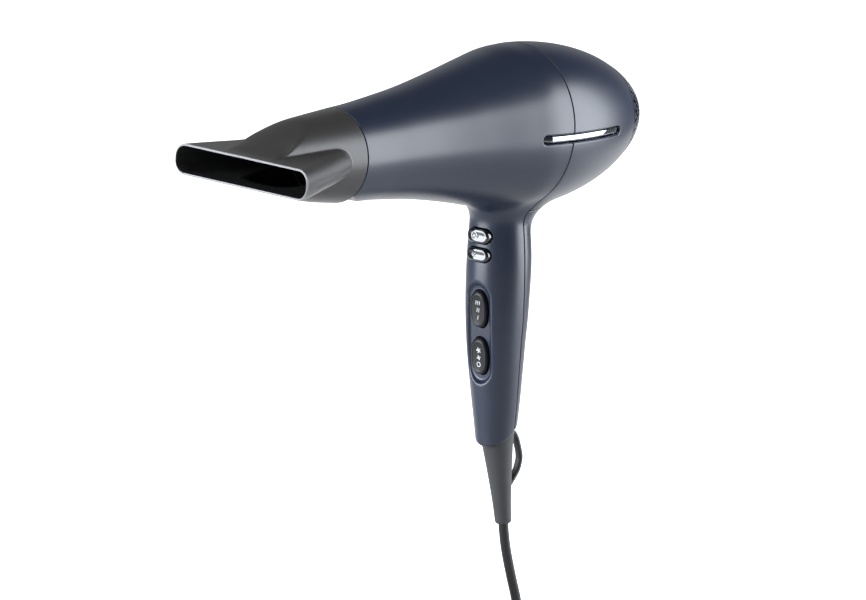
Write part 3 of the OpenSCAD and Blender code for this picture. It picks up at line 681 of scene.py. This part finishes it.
def over_cover(p):
    return p[:, 2] - COVER_TOP - COVER_SLOPE * p[:, 0]


def cover_side(p):
    """Above 0 inside the grip's back cover: behind the parting line and below the neck's top."""
    return np.minimum(behind(p), -over_cover(p))


def rear_side(p):
    """Above 0 inside the rear housing."""
    return np.minimum(behind(p), over_cover(p))


CUT_Z, CUT_TILT = -63.0, math.radians(34)


def above_cut(p):
    x0 = handle_x(CUT_Z)
    return (p[:, 2] - CUT_Z) * math.cos(CUT_TILT) - (p[:, 0] - x0) * math.sin(CUT_TILT)


STRIP_X0, STRIP_X1, STRIP_H, STRIP_Z = -23.0, 48.0, 5.2, 116.0


def strip_distance(p):
    u = p[:, 0] - (STRIP_X0 + STRIP_X1) / 2
    return stadium_distance(u, p[:, 2] - STRIP_Z, STRIP_X1 - STRIP_X0, STRIP_H)


def rocker_hole(centre, step=0.05):
    """Roughly the distance outside an oval."""
    def g(u, v):
        reach = np.abs(2 * u / ROCKER_W) ** OVAL + np.abs(2 * v / ROCKER_H) ** OVAL
        return (reach + 1e-12) ** (1 / OVAL) - 1

    def distance(p):
        u, v = p[:, 1], p[:, 2] - centre
        slope = np.hypot(g(u + step, v) - g(u - step, v), g(u, v + step) - g(u, v - step))
        return on_front(p, g(u, v) / np.maximum(slope / (2 * step), 0.02))
    return distance


WALL = 2.2
SCREW_Z, SCREW_HOLE = (-38.0, 48.8), 3.1


def screw_hole(centre):
    """Distance outside a screw's hole, which counts only at the grip's back."""
    def distance(p):
        away = np.hypot(p[:, 1], p[:, 2] - centre) - SCREW_HOLE
        return np.where(p[:, 0] > handle_x(p[:, 2]), away, FAR)
    return distance


BUTTON_HOLES = [front_opening(z, BUTTON_W, h) for z, h in ((COOL_Z, COOL_H), (BOOST_Z, BOOST_H))]
ROCKER_HOLES = [rocker_hole(HEAT_Z), rocker_hole(SPEED_Z)]
SCREW_HOLES = [screw_hole(z) for z in SCREW_Z]


def near_detail(p):
    """Where the body's mesh is made finer: by the panel's edge, holes, slots and seam."""
    def by(distance, reach):
        return np.abs(distance) < reach

    front = p[:, 0] < handle_x(p[:, 2])
    holes = np.min([hole(p) for hole in BUTTON_HOLES + ROCKER_HOLES], axis=0)
    screws = np.min([hole(p) for hole in SCREW_HOLES], axis=0)
    return (front & by(panel_distance(p) + 0.6, 1.6) | by(screws, 1.2) | by(holes, 1.2)
            | by(strip_distance(p), 1.0) | by(behind(p), 0.6))


BODY_LOW, BODY_HIGH, BODY_CELL = (-151, -50, -74), (74, 50, 168), 1.5


def body_shells():
    points, triangles = surface_net(body_field, BODY_LOW, BODY_HIGH, BODY_CELL)
    for _ in range(2):
        points, triangles = refine(body_field, points, triangles, near_detail)
    slot, cut = (strip_distance, 1.0), (above_cut, 1.8)
    for name, node, features in (
            ("housing_front", "main_housing",
             [(lambda p: p[:, 0] - OUTLET_X - 0.1, 0.3), (lambda p: -behind(p) - GAP, EDGE),
              *[(hole, 0.5) for hole in BUTTON_HOLES], *[(hole, 0.3) for hole in ROCKER_HOLES],
              slot, cut]),
            ("housing_rear", "rear_housing",
             [(lambda p: rear_side(p) - GAP, EDGE), (lambda p: GRILLE_X - p[:, 0], 0.4), slot]),
            ("housing_grip_back", "handle_back_cover",
             [(lambda p: cover_side(p) - GAP, EDGE), cut, *[(hole, 0.4) for hole in SCREW_HOLES]])):
        Shell(body_field, points, triangles, features, WALL).build(name, "soft_shell", node)


body_shells()


# --- polished strips ---
STRIP_POINTS, STRIP_ACROSS = 90, 14
# Depths of the bar's front and back below the barrel; its front end dips by DIP over DIP_LEN.
STRIP_FRONT, STRIP_BACK, DIP, DIP_LEN = 1.6, 4.5, 2.6, 7.5
END_GAP, SIDE_GAP = 0.6, 0.8


def strips():
    """A polished bar in each side's slot."""
    n_x, n_v = STRIP_POINTS, STRIP_ACROSS
    x0, x1, half = STRIP_X0 + END_GAP, STRIP_X1 - END_GAP, STRIP_H / 2 - SIDE_GAP
    x = (x0 + x1) / 2 - (x1 - x0) / 2 * np.cos(np.linspace(0, np.pi, n_x))
    inset = np.maximum(np.maximum(x0 + half - x, x - x1 + half), 0)
    h = np.sqrt(np.maximum(half ** 2 - inset ** 2, 1e-4))
    v = np.sin(np.linspace(-np.pi / 2, np.pi / 2, n_v))
    for s in (-1, 1):
        rows = []
        for back in (False, True):
            for xi, hi in zip(x, h):
                z = STRIP_Z + v * hi
                dip = DIP * (1 - smooth_step(xi, x0, x0 + DIP_LEN))
                front = STRIP_FRONT + dip + 0.45 * np.abs(v) ** 6
                r = barrel_rad(xi) - (STRIP_BACK if back else front)
                y = np.sqrt(np.maximum(r ** 2 - (z - barrel_mid(xi)) ** 2, 0))
                rows.append(columns(np.full(n_v, xi), s * y, z))
        whole = n_x * n_v
        starts = [(base + j, n_v, 1, turned) for base, turned in ((0, s > 0), (whole, s < 0))
                  for j in range(n_v - 1)]
        starts += [(0, whole, n_v, s > 0), (n_v - 1, whole, n_v, s < 0)]
        faces = []
        for start, first, second, turned in starts:
            for at in start + n_v * np.arange(n_x - 1):
                q = [at, at + first, at + first + second, at + second]
                faces.append(q[::-1] if turned else q)
        name = "strip_right" if s < 0 else "strip_left"
        make_object("polished_" + name, (np.concatenate(rows), faces), "chrome", name, sharp=60)


strips()


# --- nozzle ---
# x in these tables is counted from the outlet, negative towards the mouth; the heights are counted
# from NOZZLE_Z. FISH is the flat tongue, RAMP the slope on top of it, UNDER the one below.
NOZZLE_Z = BARREL_Z - 0.8
MOUTH, ROOT = -73.5, -14
MOUTH_HALF, ROOT_HALF = 50.0, 28.0
FISH_TOP = [[-74, 6.4], [-48, 7.9], [-22, 9.3], [-16, 8.2], [-13, 6.2], [-10.2, 0.8], [0, -3]]
FISH_LOW = [[-74, -11], [-62, -11], [-30, -9.0], [-20, -7.4], [-14, -5.4], [-10.2, -1.6], [0, 0]]
RAMP_MID = [[-75, 5.0], [-66, 8.0], [-60, 10.9], [-48, 16.7], [-35.5, 22.3], [-25, 25.6],
            [-14, 27.3], [-4, 28.9], [10, 32]]
RAMP_SIDE = [[-75, 4.2], [-66, 7.2], [-57, 10.2], [-48, 14.3], [-35.5, 18.7], [-25, 21.6],
             [-14, 24.2], [-4, 28], [10, 32]]
UNDER = [[-75, -8], [-60, -10.6], [-47, -15.2], [-35, -19.8], [-22, -24.4], [0, -30], [10, -33]]
RAMP_SIDE_Y = 17.0
CONE_R, CONE_SLOPE = 26.4, 0.105
VALLEY_AT, VALLEY_WIDE = -1.8, 1.4


def nozzle_field(p):
    """A collar cut by the slopes, melted into a tongue with a groove along each cheek."""
    x, y, z = p[:, 0] - OUTLET_X, p[:, 1], p[:, 2] - NOZZLE_Z
    cone = np.hypot(y, z - 0.8) - (CONE_R + CONE_SLOPE * x)
    share = np.clip(np.abs(y) / RAMP_SIDE_Y, 0, 1.4) ** 2
    top = curve(RAMP_MID, x) * (1 - share) + curve(RAMP_SIDE, x) * share
    ramp = (z - top) * 0.9
    under = (curve(UNDER, x) + 1.5 * share - z) * 0.9
    collar = smooth_max(smooth_max(cone, ramp, 1.3), under, 3.0)
    high, low = curve(FISH_TOP, x), curve(FISH_LOW, x)
    mid = (high + low) / 2
    tall = np.maximum((high - low) / 2, 0.8)
    half = ROOT_HALF + (MOUTH_HALF - ROOT_HALF) * (ROOT - x) / (ROOT - MOUTH)
    half = half - 3.2 * smooth_step(x, -19, -9.5) ** 1.5
    r = np.minimum(tall, 7.6 + 2.2 * smooth_step(x, -70, -30)) - 0.01
    qy, qz = np.abs(y) - (half - r), np.abs(z - mid) - (tall - r)
    box = np.hypot(np.maximum(qy, 0), np.maximum(qz, 0)) + np.minimum(np.maximum(qy, qz), 0)
    fish = (box - r) * 0.94
    groove = np.exp(-((z - mid - VALLEY_AT) / VALLEY_WIDE) ** 2)
    valley = groove * smooth_step(np.abs(y), half - 7, half - 2)
    fish = fish + 0.5 * valley * smooth_step(x, -71, -56)
    return smooth_min(collar, fish, 1.2)


# The last is how far in from the mouth the rim's lighter painted highlight reaches.
NOZZLE_CELL, NOZZLE_WALL, RIM_HIGHLIGHT_DEEP = 0.9, 1.15, 0.42


def nozzle():
    """The nozzle with material 1, a lighter grey painted highlight, on the rim of its mouth and 2,
    a near black painted shade, on its inner side.
    """
    low = (OUTLET_X + MOUTH - 2, -52, BARREL_Z - 30)
    high = (OUTLET_X + 3, 52, BARREL_Z + 31)
    points, triangles = surface_net(nozzle_field, low, high, NOZZLE_CELL)
    shell = Shell(nozzle_field, points, triangles, [
        (lambda p: OUTLET_X - 0.4 - p[:, 0], 0.35),
        (lambda p: p[:, 0] - (OUTLET_X + MOUTH), 0.45)], NOZZLE_WALL)
    piece = shell.build("nozzle_moulding", "nozzle_plastic", "nozzle", body="nozzle", marked=True)
    # Rim faces at the mouth take a lighter grey that paints the highlight on the front-facing edge;
    # inner faces take a near black that paints shade.
    for face in piece.data.polygons:
        at_mouth = face.center.x < (OUTLET_X + MOUTH + RIM_HIGHLIGHT_DEEP) * MM
        face.material_index = {RIM: int(at_mouth), INSIDE: 2}.get(face.material_index, 0)
    return piece


nozzle_piece = nozzle()


# --- rear grille ---
GRILLE_TIP, DOME_END, PROUD = 98.0, 95.0, 0.15
GRILLE_Z = 118.2
RIBS, RIB_STEPS, RIB_START, RIB_END, RIB_TWIST = 32, 26, 0.02, 0.80, 1.15
AROUND = 2 * np.pi * np.arange(120) / 120
# Outlines as share of the way to the tip and depth, then the skirt's as x and radius.
BAND = [(0, 0.1), (0.035, 0), (0.045, 0.2), (0.045, 1.6), (0, 1.6), (0, 0.5)]
CAP = [(0.77, 1.3), (0.77, 0.2), (0.785, 0), (0.84, -0.05), (0.9, -0.05), (0.95, -0.05),
       (0.99, -0.05)]
SKIRT = [(71.6, 27.9), (71.6, 27.4), (68.2, 27.4), (68.0, 27.2), (68.0, 26.1), (71.6, 26.0)]


def grille_rad(x):
    """Radius of the grille's outside: the barrel's dome, stretched to end at GRILLE_TIP."""
    along = GRILLE_X + (x - GRILLE_X) * (DOME_END - GRILLE_X) / (GRILLE_TIP - GRILLE_X)
    return barrel_rad(along) + PROUD


def grille():
    """Two sets of crossing spiral ribs over a dome, with a rim band, a middle cap and a skirt."""
    reach = GRILLE_TIP - GRILLE_X - PROUD
    mid = barrel_mid(GRILLE_X)

    def spot(u, angle, deep):
        """u runs from the rim at 0 to the tip at 1."""
        x = GRILLE_X + PROUD + reach * math.sin(u * math.pi / 2)
        r = grille_rad(x) - deep * (1 - 0.6 * u)
        return np.array([x - deep * u, -r * math.sin(angle), mid + r * math.cos(angle)])

    parts = []
    for way in (-1, 1):
        for k in range(RIBS):
            rings = []
            for i in range(RIB_STEPS + 1):
                u = RIB_START + (RIB_END - RIB_START) * i / RIB_STEPS
                a = 2 * math.pi * k / RIBS + way * RIB_TWIST * (u + 0.55 * u ** 3)
                wide = (0.7 - 0.28 * u) / grille_rad(GRILLE_X + reach * math.sin(u * math.pi / 2))
                across = ((-1, 2.0), (-1, 0.35), (-0.4, 0), (0.4, 0), (1, 0.35), (1, 2.0))
                rings.append(np.array([spot(u, a + w * wide, deep) for w, deep in across]))
            parts.append(loft([r[::-1] for r in rings]))

    def turned(outline):
        return [np.array([spot(u, a, deep) for a in AROUND]) for u, deep in outline]

    parts.append(loft(turned(BAND), closed=True))
    parts.append(loft(turned(CAP), cap_first=False))
    skirt = [columns(np.full(len(AROUND), x), -r * np.sin(AROUND), GRILLE_Z + r * np.cos(AROUND))
             for x, r in SKIRT]
    parts.append(loft(skirt, closed=True))
    make_object("grille_ribs", join(*parts), "soft_shell", "rear_grille", body="grille", sharp=40)


grille()


# --- controls ---
CAP_CURVE, CAP_POINTS, CAP_FOOT = 24.0, 72, 4.9
# Rows of a push-button above its foot: depth below its face and distance in from its outline.
CAP_ROWS = [(1.1, 0.0), (0.6, 0.12), (0.22, 0.45), (0.0, 1.0), (0.06, 1.8), (0.2, 2.8), (0.26, 3.4)]


def cap_front(centre, y, proud):
    """x of a push-button's face at a distance across."""
    sag = CAP_CURVE - np.sqrt(CAP_CURVE ** 2 - np.asarray(y) ** 2)
    return handle_x(centre) - handle_rad(centre) + sag - proud


def sign_faces(m):
    """Faces of a flat bar between two outlines of m points: its sides, its front and its back."""
    faces = [(i, (i + 1) % m, m + (i + 1) % m, m + i) for i in range(m)]
    for i in range(m // 2 - 1):
        a, b, c, d = i, i + 1, m - 2 - i, m - 1 - i
        faces += [(m + a, m + b, m + c, m + d), (d, c, b, a)]
    return faces


def with_print(parts, plain):
    """Points and faces, then material numbers: parts after the first plain ones are print, 1."""
    points, faces = join(*parts)
    count = sum(len(f) for _, f in parts[:plain])
    return (points, faces), (np.arange(len(faces)) >= count).astype(int)


def cap_piece(name, centre, proud, h, node, signs, w=16.0):
    """A push-button whose face follows the grip's curve, with a rounded edge and signs."""
    def ring(x, outline):
        return columns(x, outline[:, 0], centre + outline[:, 1])

    foot = handle_x(centre) - handle_rad(centre) + CAP_FOOT
    rings = [ring(np.full(CAP_POINTS, foot), stadium(CAP_POINTS, w, h))]
    for deep, inset in CAP_ROWS:
        o = stadium(CAP_POINTS, w - 2 * inset, h - 2 * inset)
        rings.append(ring(cap_front(centre, o[:, 0], proud) + deep, o))
    parts = [loft([r[::-1] for r in rings])]
    for edge in signs:
        rows = [ring(cap_front(centre, edge[:, 0], proud) + lift, edge) for lift in (0.6, -0.02)]
        parts.append((np.concatenate(rows), sign_faces(len(edge))))
    shape, marks = with_print(parts, 1)
    return make_object(name, shape, "button_plastic", node, body=node, sharp=45, marks=marks)


def stroke(line, wide=0.4):
    """Left and right edges of a painted line through points (across, up)."""
    line = np.asarray(line, float)
    ahead = unit(np.gradient(line, axis=0))
    side = np.column_stack([-ahead[:, 1], ahead[:, 0]]) * wide / 2
    return np.concatenate([line + side, (line - side)[::-1]])


def on_panel(centre, rows):
    """Rows of (out, across, up) from the panel's face at a height, to the CAD frame."""
    x0 = PANEL_X + (PANEL_MID - centre) * math.tan(FACE_TILT)
    c, s = math.cos(FACE_TILT), math.sin(FACE_TILT)
    out, across, up = np.asarray(rows, float).T
    return columns(x0 - out * c - up * s, across, centre + up * c - out * s)


def mark_on_panel(centre, edge):
    """A thin raised mark that follows the rocker's dished face."""
    reach = np.hypot(edge[:, 0] / 5.0, edge[:, 1] / 8.3)
    face = 1.95 + 0.35 * np.clip(reach, 0, 1)
    rows = [on_panel(centre, np.column_stack([face + lift, edge])) for lift in (-0.4, 0.12)]
    return np.concatenate(rows), sign_faces(len(edge))


ROCKER_POINTS = 80
# Rows of a rocker: distance out from the panel's face, width, height; the ring lies on RING_ROWS.
ROCKER_ROWS = [
    (-2.6, 11.9, 21.6), (0.9, 11.9, 21.6), (1.5, 11.8, 21.4), (1.9, 11.5, 21.0), (2.1, 11.1, 20.4),
    (2.22, 10.8, 19.4), (2.55, 10.6, 18.2), (2.65, 10.4, 17.9), (2.65, 10.1, 17.55),
    (2.55, 9.9, 17.2), (2.35, 9.7, 16.9), (2.3, 9.4, 16.5), (2.15, 7.6, 13.4), (2.0, 4.8, 8.6),
    (1.95, 2.0, 3.6)]
RING_ROWS = (7, 9)
# The fine ribs by the ring, on the rocker's upper half: degrees, half width, then out and share.
RIB_ANGLES, RIB_HALF = np.radians(np.arange(14, 168, 7)), 0.02
RIB_ROWS = [(1.65, 1.0), (2.45, 0.995), (2.5, 0.93), (2.0, 0.9)]
RIB_REACH = (5.87, 10.6)
RIB_FACES = [(0, 1, 3, 2), (2, 3, 5, 4), (4, 5, 7, 6), (0, 2, 4, 6), (7, 5, 3, 1), (6, 7, 1, 0)]


def rocker(name, centre, node, signs):
    """An oval rocker: a skirt, a sloping shoulder, a fine ring and a dished face."""
    n = ROCKER_POINTS
    rings = [on_panel(centre, np.column_stack([np.full(n, out), superellipse(n, w, h, OVAL)]))
             for out, w, h in ROCKER_ROWS]
    parts = [loft([r[::-1] for r in rings])]
    for angle in RIB_ANGLES:
        rib = []
        for out, grow in RIB_ROWS:
            for a in (angle - RIB_HALF, angle + RIB_HALF):
                c, s = math.cos(a), math.sin(a)
                r = grow / (abs(c) ** OVAL + abs(s) ** OVAL) ** (1 / OVAL)
                rib.append((out, RIB_REACH[0] * r * c, RIB_REACH[1] * r * s))
        parts.append((on_panel(centre, rib), RIB_FACES))
    plain = len(parts)
    parts += [mark_on_panel(centre, outline) for outline in signs]
    shape, marks = with_print(parts, plain)
    marks[RING_ROWS[0] * n:RING_ROWS[1] * n] = 2
    return make_object(name, shape, "rocker_plastic", node, body=node, sharp=50, marks=marks)


def wave(y, z, tall=2.4):
    """One rising stroke of warm air."""
    t = np.linspace(0, 1, 9)
    return stroke(columns(y + 0.22 * np.sin(t * 2 * math.pi), z + (t - 0.5) * tall))


def fan_sign(z, blades, r):
    u = np.linspace(0.12, 1, 6)
    turns = [2 * math.pi * k / blades + 0.5 + 0.9 * u for k in range(blades)]
    return [stroke(columns(r * u * np.cos(a), z + r * u * np.sin(a)), 0.55) for a in turns]


def ring_sign(z, r=1.25):
    a = np.linspace(0, 2 * math.pi, 21)
    return stroke(columns(r * np.cos(a), z + r * np.sin(a)), 0.45)


def crystal_sign(y, r=1.7):
    """A small six-armed crystal in a ring."""
    out = [ring_sign(0, r + 0.5) + [y, 0]]
    for k in range(3):
        a = math.pi / 3 * k + math.pi / 6
        arm = np.array([math.cos(a), math.sin(a)]) * (r - 0.1)
        out.append(stroke([arm + [y, 0], [y, 0], [y, 0] - arm], 0.3))
    return out


def chevron_sign(y, r=1.1):
    """Two arrow heads side by side."""
    return [stroke([(y + d - r / 2, -r), (y + d + r / 2, 0), (y + d - r / 2, r)])
            for d in (-0.8, 0.8)]


cool_signs = crystal_sign(1.4) + [stroke([(-7.1, 0), (-6.3, 0), (-5.5, 0)])]
heat_signs = [wave(y, z - HEAT_Z) for y, z in (
    (-1.3, 15.5), (0, 15.5), (1.3, 15.5), (-0.65, 11.2), (0.65, 11.2), (0, 6.8))]
speed_signs = (fan_sign(-12.4 - SPEED_Z, 5, 1.6) + fan_sign(-16.7 - SPEED_Z, 4, 1.35)
               + [ring_sign(-20.7 - SPEED_Z)])
cool_piece = cap_piece("cool_shot_cap", COOL_Z, 2.5, 8.1, "cool_button", cool_signs)
boost_piece = cap_piece("boost_cap", BOOST_Z, 2.1, 7.6, "boost_button", chevron_sign(1.6))
heat_piece = rocker("heat_rocker_cap", HEAT_Z, "heat_rocker", heat_signs)
speed_piece = rocker("speed_rocker_cap", SPEED_Z, "speed_rocker", speed_signs)


# --- strain relief and hanging loop ---
RELIEF_TOP = np.array([5.2, 0, -60.0])
RELIEF_END = np.array([17.0, 0, -116.6])
# Rows of the relief: distance down its axis and radius. LOOP's are x and z.
RELIEF = [[0, 10.6], [5, 9.7], [11, 8.8], [22, 7.6], [34, 6.4], [46, 5.4], [57.8, 4.75]]
RELIEF_FOOT = [(-0.45, 4.62), (-0.12, 4.35), (0, 3.9), (0, 2.95), (-3, 2.92)]
LOOP = [[9, -63.5], [17.5, -63.0], [21.6, -66.2], [24.6, -72.2], [26.6, -77.8], [26.7, -81.6],
        [24.9, -87.2], [19.6, -93.8], [14, -99.5]]


def strain_relief():
    length = np.linalg.norm(RELIEF_END - RELIEF_TOP)
    axis = (RELIEF_END - RELIEF_TOP) / length
    side = np.array([0, 1.0, 0])
    other = np.cross(axis, side)
    ring = superellipse(72, 2, 2)
    profile = [(-6.0, 9.0), (-0.5, 9.5)]
    profile += [(s, curve(RELIEF, s)) for s in np.linspace(0, length - 0.9, 26)]
    profile += [(length + s, r) for s, r in RELIEF_FOOT]
    taper = loft([RELIEF_TOP + s * axis + r * (ring[:, :1] * side + ring[:, 1:] * other)
                  for s, r in profile])
    path = smooth_route([[x * MM, 0, z * MM] for x, z in LOOP], 6)
    loop = sweep(path, superellipse(20, 2.4, 4.8, 3.0))
    make_object("relief_and_loop", join(taper, loop), "relief_rubber", "strain_relief", sharp=50)


strain_relief()


# --- materials ---
def new_material(name):
    material = bpy.data.materials.new(name)
    material.use_nodes = True
    tree = material.node_tree
    shader = tree.nodes["Principled BSDF"]
    return material, tree, shader


def set_inputs(node, values):
    for key, value in values.items():
        node.inputs[key].default_value = value


def add_node(tree, kind, values={}, **settings):
    """A new node with its inputs set by name from values and its own settings."""
    node = tree.nodes.new(kind)
    set_inputs(node, values)
    for key, value in settings.items():
        setattr(node, key, value)
    return node


def moulded(name, colour, rough, grain=900.0, bump=0.06, mottle=0.06, coat=0.0, metallic=0.0,
            spec=0.5, rough_swing=0.05):
    """Fine grain in the bump and the roughness, slow mottling in the colour."""
    material, tree, shader = new_material(name)
    place = add_node(tree, "ShaderNodeTexCoord")
    slow = add_node(tree, "ShaderNodeTexNoise", {"Scale": 35.0, "Detail": 3.0})
    fine = add_node(tree, "ShaderNodeTexNoise", {"Scale": grain, "Detail": 2.0})
    ramp = add_node(tree, "ShaderNodeValToRGB")
    for end, at, share in zip(ramp.color_ramp.elements, (0.35, 0.65), (1 - mottle, 1 + mottle)):
        end.color = (*[min(1, c * share) for c in colour], 1)
        end.position = at
    swing = add_node(tree, "ShaderNodeMapRange",
                     {"To Min": rough - rough_swing, "To Max": rough + rough_swing})
    raised = add_node(tree, "ShaderNodeBump", {"Strength": bump, "Distance": 0.0002})
    for source, output, target, into in (
            (place, "Object", slow, "Vector"), (place, "Object", fine, "Vector"),
            (slow, "Fac", ramp, "Fac"), (ramp, "Color", shader, "Base Color"),
            (fine, "Fac", swing, "Value"), (swing, "Result", shader, "Roughness"),
            (fine, "Fac", raised, "Height"), (raised, "Normal", shader, "Normal")):
        tree.links.new(source.outputs[output], target.inputs[into])
    set_inputs(shader, {"Metallic": metallic, "Coat Weight": coat, "Specular IOR Level": spec})
    return material


looks = {
    "soft_shell": moulded(
        "soft_touch_navy", (0.0135, 0.0215, 0.044), 0.33, bump=0.05, mottle=0.04, spec=0.7),
    "nozzle_plastic": moulded("nozzle_charcoal", (0.036, 0.0345, 0.034), 0.38, spec=0.7),
    "rocker_plastic": moulded("rocker_dark", (0.009, 0.009, 0.011), 0.42, bump=0.08, spec=0.4),
    "button_plastic": moulded(
        "button_gloss", (0.004, 0.005, 0.008), 0.09, bump=0.01, coat=1.0, spec=0.9),
    "black_plastic": moulded("black_moulded", (0.012, 0.012, 0.013), 0.45, bump=0.1),
    "chrome": moulded("chrome_strip", (0.42, 0.45, 0.52), 0.05, bump=0.003, mottle=0.02,
                      metallic=1.0, rough_swing=0.02),
    "steel": moulded("plain_steel", (0.5, 0.5, 0.52), 0.35, bump=0.05, metallic=1.0),
    "pin_metal": moulded("nickel_pin", (0.66, 0.64, 0.58), 0.22, bump=0.02, metallic=1.0),
    "mica": moulded("mica_board", (0.42, 0.34, 0.22), 0.5, grain=300, bump=0.2, mottle=0.2),
    "cream_plastic": moulded("cream_moulded", (0.6, 0.57, 0.48), 0.45),
    "copper": moulded("enamelled_copper", (0.55, 0.22, 0.1), 0.3, grain=1500, bump=0.2,
                      metallic=1.0),
    "brass": moulded("sintered_brass", (0.6, 0.45, 0.2), 0.38, bump=0.12, metallic=1.0),
    "relief_rubber": moulded("relief_rubber", (0.05, 0.05, 0.053), 0.5, bump=0.1),
    "lead_jacket": moulded("lead_jacket", (0.012, 0.012, 0.013), 0.36),
}
# Lighter grey for the nozzle's mouth rim: a painted highlight for the reflection on its
# front-facing edge.
rim_highlight_look = moulded("nozzle_rim_painted_highlight", (0.22, 0.22, 0.23), 0.3, bump=0.02)
# Near black for the nozzle's inner side: painted shade for the dark inside of the duct.
inside_shade_look = moulded("nozzle_inside_painted_shade", (0.006, 0.006, 0.006), 0.6, bump=0.05)
ring_look = moulded("rocker_ring", (0.09, 0.088, 0.085), 0.22, bump=0.02)
mark_look = moulded("white_print", (0.75, 0.76, 0.78), 0.5, bump=0.03, mottle=0.03)
slot_of = {row["node"]: row["material_slot"] for row in frame["record"]["subparts"]}
for name, thing in frame["nodes"].items():
    thing.data.materials.clear()
    thing.data.materials.append(looks[slot_of[name]])
# Pieces with more than one material, and what their faces marked 1 and 2 take.
more_looks = {nozzle_piece: (rim_highlight_look, inside_shade_look), heat_piece: (mark_look, ring_look),
              speed_piece: (mark_look, ring_look), cool_piece: (mark_look,),
              boost_piece: (mark_look,)}
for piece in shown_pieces():
    if "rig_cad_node" not in piece:
        marks = [face.material_index for face in piece.data.polygons]
        piece.data.materials.clear()
        for look in (looks[piece["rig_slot"]], *more_looks.get(piece, ())):
            piece.data.materials.append(look)
        piece.data.polygons.foreach_set("material_index", marks)


# --- stage and light ---
BACK_TURN = math.radians(-41.35)
FLOOR_SIZE, FLOOR_GAP = 30.0, 0.02


def back_and_side(tree, output):
    """How far a point lies towards the back of the studio, and how far to its side."""
    place = add_node(tree, "ShaderNodeTexCoord")
    turn = add_node(tree, "ShaderNodeMapping", {"Rotation": (0, 0, BACK_TURN)})
    split = add_node(tree, "ShaderNodeSeparateXYZ")
    tree.links.new(place.outputs[output], turn.inputs["Vector"])
    tree.links.new(turn.outputs["Vector"], split.inputs["Vector"])
    return split.outputs["X"], split.outputs["Y"]


def fade(tree, source, low, high, first, last):
    """A value that goes smoothly from first to last where source goes from low to high."""
    limits = {"From Min": low, "From Max": high, "To Min": first, "To Max": last}
    span = add_node(tree, "ShaderNodeMapRange", limits, interpolation_type="SMOOTHSTEP")
    tree.links.new(source, span.inputs["Value"])
    return span.outputs["Result"]


def maths(tree, operation, *terms):
    """A maths node on sockets and numbers."""
    node = add_node(tree, "ShaderNodeMath", operation=operation)
    for i, term in enumerate(terms):
        if isinstance(term, float):
            node.inputs[i].default_value = term
        else:
            tree.links.new(term, node.inputs[i])
    return node.outputs[0]


def add_floor():
    """Glows white behind the object, less near it and to its sides; paler to the camera."""
    mesh = bpy.data.meshes.new("floor")
    size, low = FLOOR_SIZE, float(cad_low.z) - FLOOR_GAP
    corners = [(a * size, b * size, low) for a, b in ((-1, -1), (1, -1), (1, 1), (-1, 1))]
    mesh.from_pydata(corners, [], [(0, 1, 2, 3)])
    floor = new_object("floor", mesh)
    material, tree, shader = new_material("floor_white")
    set_inputs(shader, {"Base Color": (0.5, 0.5, 0.5, 1), "Roughness": 0.9,
                        "Emission Color": (1, 1, 1, 1)})
    back, side = back_and_side(tree, "Object")
    glow = maths(tree, "MULTIPLY", fade(tree, back, 0.1, 0.85, 0.1, 1.1),
                 fade(tree, maths(tree, "ABSOLUTE", side), 0.8, 1.5, 1.0, 0.1))
    path = add_node(tree, "ShaderNodeLightPath")
    pale = maths(tree, "MULTIPLY_ADD", path.outputs["Is Camera Ray"], 0.5, glow)
    tree.links.new(pale, shader.inputs["Emission Strength"])
    mesh.materials.append(material)


def add_world():
    """Light from behind the object and little from the front; white to the camera all round."""
    world = bpy.data.worlds.new("studio")
    world.use_nodes = True
    tree = world.node_tree
    glow = fade(tree, back_and_side(tree, "Generated")[0], 0.75, 0.98, 0.05, 0.45)
    path = add_node(tree, "ShaderNodeLightPath")
    background = tree.nodes["Background"]
    tree.links.new(maths(tree, "MAXIMUM", glow, path.outputs["Is Camera Ray"]),
                   background.inputs["Strength"])
    set_inputs(background, {"Color": (0.97, 0.98, 1, 1)})
    bpy.context.scene.world = world


def area_light(name, at, aim, size, power, colour):
    data = bpy.data.lights.new(name, "AREA")
    data.shape = "RECTANGLE"
    data.size, data.size_y = size
    data.energy = power
    data.color = colour
    lamp = new_object(name, data)
    lamp.location = at
    lamp.rotation_mode = "QUATERNION"
    lamp.rotation_quaternion = (Vector(aim) - Vector(at)).to_track_quat("-Z", "Y")


add_floor()
add_world()
bpy.context.scene.view_settings.view_transform = "Standard"
area_light("key", (1.08, -1.04, 0.5), (0, 0, 0.5), (1.34, 1.56), 45, (0.9, 0.94, 1.0))
area_light("left", (-1.36, 0.63, 0.3), (0, 0, 0.3), (1.2, 1.3), 42, (0.9, 0.94, 1.0))
area_light("top", (-0.6, -0.2, 2.2), (0, 0, 0.1), (1.6, 1.6), 18, (1.0, 0.96, 0.94))
